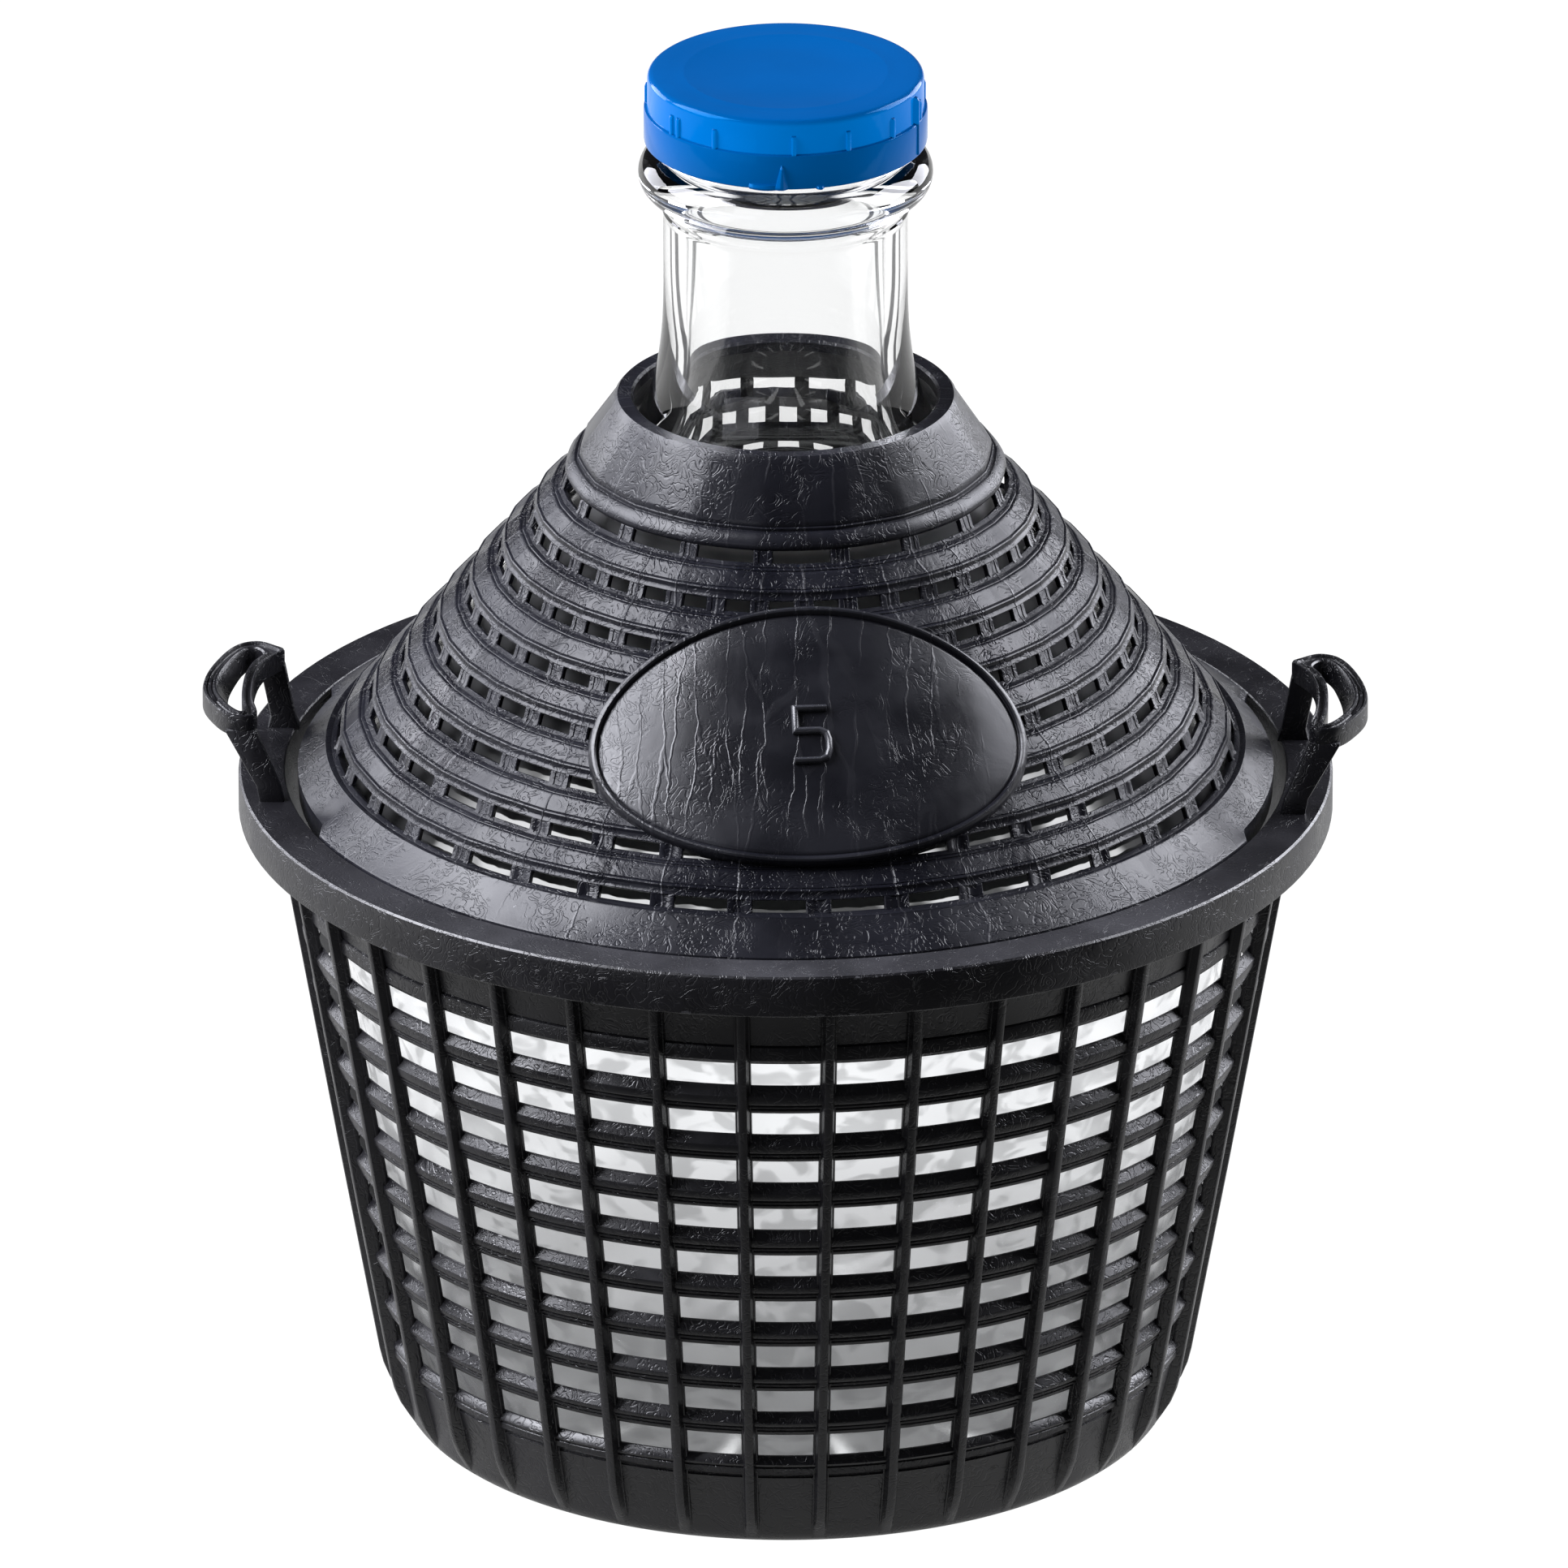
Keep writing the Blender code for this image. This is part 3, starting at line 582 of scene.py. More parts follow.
class Effects:
    """Node groups that more than one finish uses, each built once."""

    def __init__(self) -> None:
        """Build every group."""
        self.leather = self.leather_group()
        self.flecks = self.flecks_group()
        self.facet_lines = self.facet_lines_group()
        self.edge_line = self.edge_line_group()
        self.creases = self.creases_group()

    def leather_group(self) -> bpy.types.NodeTree:
        """Fine winding creases in patches, as a mould etched with a leather grain gives.

        Returns:
            The group.
        """
        inputs = {"Scale": 90.0, "Lines": 7.0, "Cover": 0.5, "Fine": 0.25}
        effect = Effect("Leather grain", inputs, ["Height"])
        flow = effect.noise(effect.place, effect.given["Scale"], 1.5, 1.6)
        lines = effect.math('PINGPONG', effect.product(flow, effect.given["Lines"]), 0.5)
        crease = effect.ramp(lines, 0.02, 0.22)
        gate = effect.math('SUBTRACT', effect.noise(effect.place, 70.0, 3.0), effect.given["Cover"])
        patch = effect.ramp(gate, -0.06, 0.1)
        shown = effect.inverse(effect.product(effect.inverse(crease), patch))
        fine = effect.noise(effect.place, effect.product(effect.given["Scale"], 9.0))
        total = effect.math('ADD', shown, effect.product(fine, effect.given["Fine"]))
        effect.fill(effect.result["Height"], total)
        return effect.tree

    def flecks_group(self) -> bpy.types.NodeTree:
        """Small pale marks where the plastic is dusty or rubbed, thinly spread.

        Returns:
            The group.
        """
        effect = Effect("Pale flecks", {"Scale": 160.0, "Size": 0.07, "Share": 0.3}, ["Mask"])
        bent = effect.swayed(effect.place, 700.0, 2.0, 0.0025)
        cells = effect.node("TexVoronoi", {"Vector": bent, "Scale": effect.given["Scale"]}, feature='F1')
        dot = effect.math('LESS_THAN', cells.outputs["Distance"], effect.given["Size"])
        chance = effect.node("SeparateColor", {0: cells.outputs["Color"]}).outputs[0]
        kept = effect.math('LESS_THAN', chance, effect.given["Share"])
        effect.fill(effect.result["Mask"], effect.product(dot, kept))
        return effect.tree

    def facet_lines_group(self) -> bpy.types.NodeTree:
        """Fine upright joint lines between the facets of the mould, and a tone for each facet.

        Returns:
            The group.
        """
        inputs = {"Count": 36.0, "Phase": 0.0, "Width": 0.0004, "Wander": 0.001}
        effect = Effect("Facet lines", inputs, ["Line", "Shade"])
        across, depth, _ = effect.node("SeparateXYZ", {0: effect.place}).outputs
        radius = effect.length(across, depth)
        angle = effect.math('ARCTAN2', depth, across)
        turns = effect.math('DIVIDE', effect.math('SUBTRACT', angle, effect.given["Phase"]), 2 * math.pi)
        drift = effect.math('SUBTRACT', effect.noise(effect.place, 90.0, 3.0), 0.5)
        girth = effect.product(effect.most(radius, 0.01), 2 * math.pi)
        shift = effect.math('DIVIDE', effect.product(drift, effect.given["Wander"]), girth)
        cell = effect.product(effect.math('ADD', turns, shift), effect.given["Count"])
        pitch = effect.math('DIVIDE', effect.product(radius, 2 * math.pi), effect.given["Count"])
        distance = effect.product(effect.math('PINGPONG', cell, 0.5), pitch)
        share = effect.math('DIVIDE', distance, effect.given["Width"])
        near = effect.math('SUBTRACT', 1.0, share, clamp=True)
        patch = effect.ramp(effect.noise(effect.place, 60.0), 0.35, 0.6)
        effect.fill(effect.result["Line"], effect.product(near, patch))
        number = effect.math('FLOOR', effect.math('ADD', cell, 0.5))
        tone = effect.node("TexWhiteNoise", {"W": number}, noise_dimensions='1D').outputs["Value"]
        effect.fill(effect.result["Shade"], tone)
        return effect.tree

    def creases_group(self) -> bpy.types.NodeTree:
        """Long thin upright creases that branch, as a thin sheet folds them.

        Returns:
            The group.
        """
        effect = Effect("Long creases", {"Scale": 125.0}, ["Line"])
        drawn = effect.mapped(effect.swayed(effect.place, 120.0, 3.0, 0.004), (1.0, 0.13, 0.13))
        sockets = {"Vector": drawn, "Scale": effect.given["Scale"]}
        cells = effect.node("TexVoronoi", sockets, feature='DISTANCE_TO_EDGE')
        line = effect.ramp(cells.outputs["Distance"], 0.05, 0.01)
        patch = effect.ramp(effect.noise(effect.place, 45.0, 3.0), 0.38, 0.6)
        effect.fill(effect.result["Line"], effect.product(line, patch))
        return effect.tree

    def edge_line_group(self) -> bpy.types.NodeTree:
        """A broken pale line round one moulded edge, where it is rubbed.

        Returns:
            The group.
        """
        inputs = {"Radius": 0.12, "Level": 0.15, "Width": 0.0005, "Cover": 0.37}
        effect = Effect("Edge line", inputs, ["Mask"])
        across, depth, height = effect.node("SeparateXYZ", {0: effect.place}).outputs
        off = effect.length(effect.math('SUBTRACT', effect.length(across, depth), effect.given["Radius"]),
                            effect.math('SUBTRACT', height, effect.given["Level"]))
        reach = effect.product(effect.noise(effect.place, 600.0), effect.given["Width"], 2.0)
        near = effect.math('LESS_THAN', off, reach)
        patch = effect.math('LESS_THAN', effect.noise(effect.place, 160.0, 4.0), effect.given["Cover"])
        effect.fill(effect.result["Mask"], effect.product(near, patch))
        return effect.tree


@dataclass(frozen=True)
class MouldedPlastic:
    """Dark moulded plastic with a leather grain, joint lines and pale rubbed marks."""

    name: str
    colour: Colour
    pale: Colour = (0.20, 0.20, 0.215)
    roughness: Point = (0.32, 0.46)
    gloss: float = 0.5
    grain_scale: float = 230.0
    grain_lines: float = 5.5
    grain_cover: float = 0.47
    grain_depth: float = 0.09 * MM
    wrinkle_depth: float = 0.0
    wrinkle_scale: float = 150.0
    line_count: float = 0.0
    line_phase: float = 0.0
    line_width: float = 0.35 * MM
    line_wander: float = 4.0 * MM
    line_depth: float = 0.12 * MM
    line_show: float = 0.08
    fleck_share: float = 0.12
    fleck_scale: float = 170.0
    fleck_size: float = 0.055
    fleck_show: float = 0.5
    rubbed_edges: tuple[Point, ...] = ()
    rubbed_show: float = 0.25
    # Painted highlight: how much paler faces that look up at the front are made
    painted_top_sheen: float = 0.0
    crease_scale: float = 190.0
    crease_show: float = 0.0
    crease_depth: float = 0.1 * MM

    def build(self, effects: Effects) -> Material:
        """Make the material.

        Args:
            effects: the shared node groups.

        Returns:
            The material.
        """
        surface = Surface(self.name, self.gloss)
        tone = surface.ramp(surface.noise(surface.place, 55.0, 4.0), 0.3, 0.7)
        base = surface.mix(tone, rgba(self.colour, 0.75), rgba(self.colour, 1.3))
        pale = self.wear_and_painted_sheen(surface, effects, tone)
        normal = self.grained(surface, effects)
        if self.crease_show:
            creases = surface.group(effects.creases, {"Scale": self.crease_scale}).outputs["Line"]
            pale = surface.most(pale, surface.product(creases, self.crease_show))
            normal = surface.bump(creases, self.crease_depth, normal)
        rough = tone
        if self.line_count:
            lines = surface.group(effects.facet_lines, {"Count": self.line_count, "Phase": self.line_phase,
                                                        "Width": self.line_width, "Wander": self.line_wander})
            pale = surface.most(pale, surface.product(lines.outputs["Line"], self.line_show))
            normal = surface.bump(lines.outputs["Line"], self.line_depth, normal)
            rough = surface.product(surface.math('ADD', tone, lines.outputs["Shade"]), 0.5)
        surface.give("Base Color", surface.mix(pale, base, rgba(self.pale)))
        surface.give("Roughness", surface.ramp(rough, 0.0, 1.0, *self.roughness))
        surface.give("Normal", normal)
        surface.material.diffuse_color = rgba(self.colour)
        return surface.material

    def wear_and_painted_sheen(self, surface: Surface, effects: Effects, tone: Socket) -> Socket:
        """Pale marks: flecks, rubbed edges, and a painted highlight on faces that look up at the front.

        Args:
            surface: the material's nodes.
            effects: the shared node groups.
            tone: slow variation of the plastic.

        Returns:
            The mask of the marks.
        """
        flecks = surface.group(effects.flecks, {"Scale": self.fleck_scale, "Size": self.fleck_size,
                                                "Share": self.fleck_share})
        pale = surface.product(flecks.outputs["Mask"], self.fleck_show)
        for radius, level in self.rubbed_edges:
            line = surface.group(effects.edge_line, {"Radius": radius, "Level": level})
            pale = surface.most(pale, surface.product(line.outputs["Mask"], self.rubbed_show))
        if self.painted_top_sheen:
            # Painted highlight: faces that look up are painted paler towards the front, in patches
            level_faces = surface.ramp(surface.upward("True Normal"), 0.8, 0.98, 0.0, self.painted_top_sheen)
            forward = surface.ramp(surface.axis(1), -0.02, -0.11, 0.1, 1.0)
            cloudy = surface.ramp(tone, 0.0, 1.0, 0.7, 1.0)
            pale = surface.most(pale, surface.product(level_faces, forward, cloudy))
        return pale

    def grained(self, surface: Surface, effects: Effects) -> Socket:
        """Relief of the mould: the leather grain, and soft upright wrinkles over it.

        Args:
            surface: the material's nodes.
            effects: the shared node groups.

        Returns:
            The bumped normal.
        """
        leather = surface.group(effects.leather, {"Scale": self.grain_scale, "Lines": self.grain_lines,
                                                  "Cover": self.grain_cover})
        normal = surface.bump(leather.outputs["Height"], self.grain_depth)
        if self.wrinkle_depth:
            upright = surface.mapped(surface.place, (1.0, 1.0, 0.4))
            folds = surface.noise(upright, self.wrinkle_scale, 3.0, 0.8)
            normal = surface.bump(folds, self.wrinkle_depth, normal)
        return normal


@dataclass(frozen=True)
class Glass:
    """Clear bottle glass with the slow ripples of a blown wall."""

    name: str
    colour: Colour = (0.997, 1.0, 0.999)
    transmission: float = 1.0
    refraction: float = 1.5
    ripple: float = 0.12 * MM
    gloss: float = 0.5

    def build(self) -> Material:
        """Make the material.

        Returns:
            The material.
        """
        surface = Surface(self.name, self.gloss)
        surface.give("Base Color", rgba(self.colour))
        surface.give("Roughness", 0.0)
        surface.give("Transmission Weight", self.transmission)
        surface.give("IOR", self.refraction)
        waves = surface.noise(surface.mapped(surface.place, (1.0, 1.0, 0.45)), 38.0, 1.0)
        surface.give("Normal", surface.bump(waves, self.ripple))
        self.age(surface)
        surface.material.diffuse_color = (*self.colour, 0.4)
        return surface.material

    def age(self, surface: Surface) -> None:
        """Leave the glass clear; the bottle's wall paints shade and glowing light into its colour, roughness
        and emission here.
        """


@dataclass(frozen=True)
class WallGlass(Glass):
    """Outer face of the bottle: clear above, with painted shade under the cover, hazy within the basket and
    painted there with a glow of its own.

    Levels are heights, and depths are places from front to back; a pair is where a mask starts and
    where it is full.
    """

    haze_colour: Colour = (0.93, 0.94, 0.95)
    haze_levels: Point = (0.150, 0.128)
    haze_roughness: float = 0.18
    # Painted shade: a dark, rough tint on the front of the shoulder under the cover
    shade_colour: Colour = (0.02, 0.021, 0.021)
    shade_foot: Point = (0.146, 0.156)
    shade_top: Point = (0.228, 0.220)
    shade_depths: Point = (0.014, -0.022)
    shade_roughness: float = 0.85
    # Painted shade: darker tint of the hazy body's inner faces
    inner_shade_colour: Colour = (0.06, 0.065, 0.065)
    # Painted light: strength of the emission that makes the body and the glints glow
    glow: float = 0.86
    glow_colour: Colour = (0.97, 0.98, 1.0)
    glow_levels: Point = (0.03, 0.12)
    glow_least: float = 0.15
    # Painted highlights: pitch, start, edges and extent of the glowing lines on the shoulder
    glint_pitch: float = 8.925 * MM
    glint_start: float = 148.0 * MM
    glint_edge: Point = (0.13, 0.11)
    glint_foot: Point = (0.150, 0.154)
    glint_top: Point = (0.186, 0.170)
    glint_depths: Point = (-0.045, -0.065)
    glint_wander: float = 1.2 * MM

    def age(self, surface: Surface) -> None:
        """Paint shade on the front of the shoulder, and paint light into the body as a glow, with thin glints
        on the shoulder.

        Args:
            surface: the material's nodes.
        """
        depth, height = surface.axis(1), surface.axis(2)
        behind = surface.node("NewGeometry").outputs["Backfacing"]
        haze = surface.ramp(height, *self.haze_levels)
        # Painted shade on the front of the shoulder, under the cover
        shaded = surface.product(surface.band(height, self.shade_foot, self.shade_top),
                                 surface.ramp(depth, *self.shade_depths))
        tint = surface.mix(haze, rgba(self.colour), rgba(self.haze_colour))
        tint = surface.mix(shaded, tint, rgba(self.shade_colour))
        # Painted shade on the inner faces of the hazy body
        tint = surface.mix(surface.product(haze, behind), tint, rgba(self.inner_shade_colour))
        rough = surface.math('ADD', surface.product(haze, self.haze_roughness),
                             surface.product(shaded, self.shade_roughness))
        # Painted light: the body's glow and the shoulder's glints are emission, not lamp light
        light = surface.most(self.lit(surface, haze, height), self.glints(surface, depth, height))
        glow = surface.product(light, surface.inverse(behind))
        surface.give("Base Color", tint)
        surface.give("Roughness", rough)
        surface.give("Emission Color", surface.mix(glow, BLACK, rgba(self.glow_colour)))
        surface.give("Emission Strength", self.glow)

    def lit(self, surface: Surface, haze: Socket, height: Socket) -> Socket:
        """Painted light: a cloudy glow in the body, stronger towards the top of the basket.

        Args:
            surface: the material's nodes.
            haze: mask of the hazy body.
            height: height of the place.

        Returns:
            The mask of the light.
        """
        slanted = surface.mapped(surface.place, (1.0, 1.0, 1.5), (0.35, 0.2, 0.0))
        glow_patches = surface.ramp(surface.noise(slanted, 95.0, 1.5, 1.2), 0.38, 0.54, 0.64, 1.0)
        return surface.product(haze, surface.ramp(height, *self.glow_levels, self.glow_least, 1.0), glow_patches)

    def glints(self, surface: Surface, depth: Socket, height: Socket) -> Socket:
        """Painted highlights: thin broken lines of glowing light low on the front of the shoulder.

        Args:
            surface: the material's nodes.
            depth: place from front to back.
            height: height of the place.

        Returns:
            The mask of the lines.
        """
        wander = surface.product(surface.noise(surface.place, 160.0), self.glint_wander)
        risen = surface.math('ADD', surface.math('SUBTRACT', height, self.glint_start), wander)
        share = surface.math('FRACT', surface.math('DIVIDE', risen, self.glint_pitch))
        broken = surface.ramp(surface.noise(surface.place, 48.0), 0.4, 0.52, 0.1, 0.85)
        shown = surface.band(height, self.glint_foot, self.glint_top)
        return surface.product(surface.ramp(share, *self.glint_edge), shown,
                               surface.ramp(depth, *self.glint_depths), broken)


@dataclass(frozen=True)
class GlossPlastic:
    """Bright glossy moulded plastic with a faint flow pattern, and where asked a painted glow on its sides.
    """

    name: str
    colour: Colour
    roughness: float
    grain: float = 0.03 * MM
    gloss: float = 0.5
    gloss_tint: Colour = (1.0, 1.0, 1.0)
    painted_side_glow: Colour = (0.0, 0.0, 0.0)
    glow_above: float = 0.0
    glow_blend: float = 0.3 * MM

    def build(self) -> Material:
        """Make the material.

        Returns:
            The material.
        """
        surface = Surface(self.name, self.gloss)
        surface.give("Specular Tint", rgba(self.gloss_tint))
        flow = surface.ramp(surface.noise(surface.place, 28.0, 3.0), 0.3, 0.7)
        surface.give("Base Color", surface.mix(flow, rgba(self.colour, 0.95), rgba(self.colour, 1.06)))
        surface.give("Roughness", surface.ramp(flow, 0.0, 1.0, self.roughness * 0.85, self.roughness * 1.2))
        surface.give("Normal", surface.bump(surface.noise(surface.place, 420.0, 3.0), self.grain))
        # Painted light: the sides glow, fully above glow_above and about a third as much below it; faces that
        # look up do not
        if any(self.painted_side_glow):
            band = surface.ramp(surface.axis(2), self.glow_above - self.glow_blend,
                                self.glow_above + self.glow_blend, 0.35, 1.0)
            mask = surface.product(band, surface.ramp(surface.upward("Normal"), 0.95, 0.0))
            surface.give("Emission Color", surface.mix(mask, BLACK, rgba(self.painted_side_glow)))
            surface.give("Emission Strength", 1.0)
        surface.material.diffuse_color = rgba(self.colour)
        return surface.material


def dress(piece: Piece, finish: Material, body: Body, stands_for: str = "",
          smooth: float = 32.0) -> Piece:
    """Finish a piece: shading, material, body and the node that it stands for.

    Args:
        piece: the modelled piece, with its place in its mesh.
        finish: its material.
        body: the body that it rides on.
        stands_for: the node that it replaces, if any.
        smooth: greatest angle between faces that is shaded smooth, in degrees.

    Returns:
        The piece.
    """
    alone(piece)
    bpy.ops.object.shade_smooth_by_angle(angle=math.radians(smooth))
    if not piece.data.materials:
        piece.data.materials.append(finish)
    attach(piece, body.value)
    if stands_for:
        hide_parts(stands_for)
    LOG.info("%s: %d faces", piece.name, len(piece.data.polygons))
    return piece


@dataclass
class Basket:
    """The moulded basket: foot, lattice wall, rim and two handles."""

    finish: Material
    height: float = 152.6 * MM
    foot_radius: float = 85.6 * MM
    top_radius: float = 112.8 * MM
    wall: float = 1.5 * MM
    columns: int = 36
    rows: int = 9
    window_height: float = 5.7 * MM
    lowest_window: float = 23.4 * MM
    window_pitch: float = 11.45 * MM
    pitch_growth: float = 0.084 * MM
    post_width: float = 3.7 * MM
    rib_depth: float = 2.2 * MM
    rib_root: float = 3.0 * MM
    bulge: float = 1.6 * MM
    bulge_level: float = 14.0 * MM
    rib_crest: float = 1.9 * MM
    rim_radius: float = 122.5 * MM
    rim_thickness: float = 3.0 * MM
    lip_height: float = 9.6 * MM
    lip_thickness: float = 2.2 * MM
    seat_radius: float = 112.1 * MM
    seat_level: float = 151.1 * MM
    floor_top: float = 5.0 * MM
    recess: float = 2.6 * MM
    heel: float = 4.0 * MM
    drains: int = 12

    def radius(self, level: float) -> float:
        """Outer radius of the wall between its ribs at a height."""
        swell = self.bulge * math.sin(math.pi / 2 * min(1.0, level / self.bulge_level))
        return self.foot_radius + (self.top_radius - self.foot_radius) * level / self.height + swell

    def sills(self) -> list[float]:
        """Lower edge of each row of windows."""
        return [self.lowest_window + self.window_pitch * row + self.pitch_growth * row * row
                for row in range(self.rows)]

    def ridged(self, low: float, high: float, steps: Sequence[Point]) -> list[Point]:
        """Section of a ring of the wall whose outer face carries moulded ridges.

        Args:
            low: lower edge.
            high: upper edge.
            steps: height above the lower edge and how far the face stands out there, in millimetres.

        Returns:
            The closed section.
        """
        face = [(self.radius(low + up * MM) + out * MM, low + up * MM) for up, out in steps]
        return [(self.radius(low) - self.wall, low), *face, (self.radius(high) - self.wall, high)]

    def build(self) -> None:
        """Model and dress every piece of the basket."""
        dress(self.cup(), self.finish, Body.BASKET, "basket")
        dress(self.bars(), self.finish, Body.BASKET)
        dress(self.rim(), self.finish, Body.BASKET)
        dress(self.ribs(), self.finish, Body.BASKET)
        for side in (Side.RIGHT, Side.LEFT):
            handle = Handle(side).build("basket_handle_" + side.name.lower())
            dress(handle, self.finish, Body.BASKET)

    def cup(self) -> Piece:
        """Floor, foot ring and the plain band under the lowest windows.

        Returns:
            The piece.
        """
        top = self.lowest_window
        inner = self.radius(self.floor_top) - self.wall
        heel_centre = (self.radius(self.heel) - self.heel, self.heel)
        outline = [
            (0.0, self.floor_top),
            *beside(inner, self.floor_top, [(-2.5, 0.0), (-0.8, 0.8), (0.0, 2.5)]),
            (self.radius(top) - self.wall, top),
            *beside(self.radius(top), top, [
                (-0.9, 0.0), (-0.1, -0.8), (0.3, -1.7), (0.1, -2.2), (-0.3, -2.4), (0.1, -2.7), (0.1, -3.8),
                (-0.9, -4.6), (-1.2, -5.2), (-0.9, -5.4)]),
            *arc(heel_centre, self.heel, 0.0, -90.0, 6),
            *beside(heel_centre[0], 0.0, [(-7.4, 0.0), (-8.0, 0.5)]),
            (heel_centre[0] - 8.8 * MM, self.recess),
            (0.0, self.recess),
        ]
        cup = turned("basket_cup", outline)
        low, high, half = 37.0 * MM, 63.0 * MM, 3.0 * MM
        levels = (self.recess - MM, self.floor_top + MM)
        corners = ((low, -half / 2), (high, -half), (high, half), (low, half / 2))
        sections = [[(x, y, level) for x, y in corners] for level in levels]
        middle = FRONT + math.pi / self.drains
        drain = lofted("drain", [around(section, middle) for section in sections])
        return cut(cup, repeated(drain, self.drains))

    def bars(self) -> Piece:
        """The level bars between the rows of windows, each with an upper slope and two ridges.

        Returns:
            The piece.
        """
        rings = []
        sills = self.sills()
        for below, above in zip(sills, sills[1:]):
            low = below + self.window_height
            up = (above - low) / MM
            section = self.ridged(low, above, [
                (0.0, -1.1), (0.1, -0.5), (0.4, -0.1), (0.9, 0.1), (1.15, 0.05), (1.3, -0.2), (1.5, 0.1),
                (1.9, 0.35), (2.15, 0.3), (2.3, 0.05), (2.5, 0.4), (2.8, 0.62), (3.0, 0.66),
                (up - 2.3, 0.66), (up - 2.1, 0.55), (up - 0.5, -0.95), (up - 0.12, -1.15), (up, -1.35)])
            rings.append(turned("bar", section))
        return joined("basket_bars", rings)

    def rim(self) -> Piece:
        """The band over the top windows, the flat rim and its turned-down lip.

        Returns:
            The piece.
        """
        low = self.sills()[-1] + self.window_height
        under = self.height - self.rim_thickness
        lip = self.height - self.lip_height
        inner_lip = self.rim_radius - self.lip_thickness
        outline = [
            (self.radius(low) - self.wall, low),
            *beside(self.radius(low), low, [
                (-0.6, 0.2), (0.2, 1.2), (0.35, 3.6), (0.1, 4.3), (-0.4, 4.6), (0.1, 4.9)]),
            *beside(self.radius(under), under, [(-0.3, -1.0), (0.4, 0.0)]),
            *beside(inner_lip, under, [(-0.5, 0.0), (0.0, -0.5)]),
            *beside(inner_lip, lip, [(0.0, 0.3), (0.3, 0.0)]),
            *beside(self.rim_radius, lip, [(-0.5, 0.0), (-0.1, 0.35), (0.0, 0.9)]),
            *beside(self.rim_radius, self.height, [(0.0, -1.0), (-0.15, -0.4), (-0.6, 0.0)]),
            *beside(self.seat_radius, self.height, [(0.3, 0.0), (0.0, -0.3)]),
            (self.seat_radius, self.seat_level),
            (self.radius(self.seat_level) - self.wall, self.seat_level),
        ]
        return turned("basket_rim", outline)

    def ribs(self) -> Piece:
        """The upright ribs with the flanges that close the ends of the windows.

        Returns:
            The piece.
        """
        half_post = self.post_width / 2
        half_root = self.rib_root / 2
        half_crest = self.rib_crest / 2
        # Heights of the sections in mm, and the share of the ribs' depth there
        levels = ((1.6, 0.0), (4.0, 0.35), (7.0, 0.75), (10.5, 0.95), (14.0, 1.0), (60.0, 1.0), (150.4, 0.8))
        sections = []
        for level, share in levels:
            base = self.radius(level * MM)
            deep = self.rib_depth * share
            half = [(base - 0.9 * MM, half_post), (base - 0.25 * MM, half_post),
                    (base + 0.05 * MM, half_post - 0.15 * MM), (base + 0.1 * MM, half_root),
                    (base + 0.5 * deep, (half_root + half_crest) / 2),
                    (base + 0.9 * deep, half_crest), (base + 0.99 * deep, half_crest * 0.6)]
            points = [(x, -y, level * MM) for x, y in half]
            points += [(x, y, level * MM) for x, y in reversed(half)]
            sections.append(around(points, FRONT + math.pi / self.columns))
        return joined("basket_ribs", [repeated(lofted("rib", sections), self.columns)])


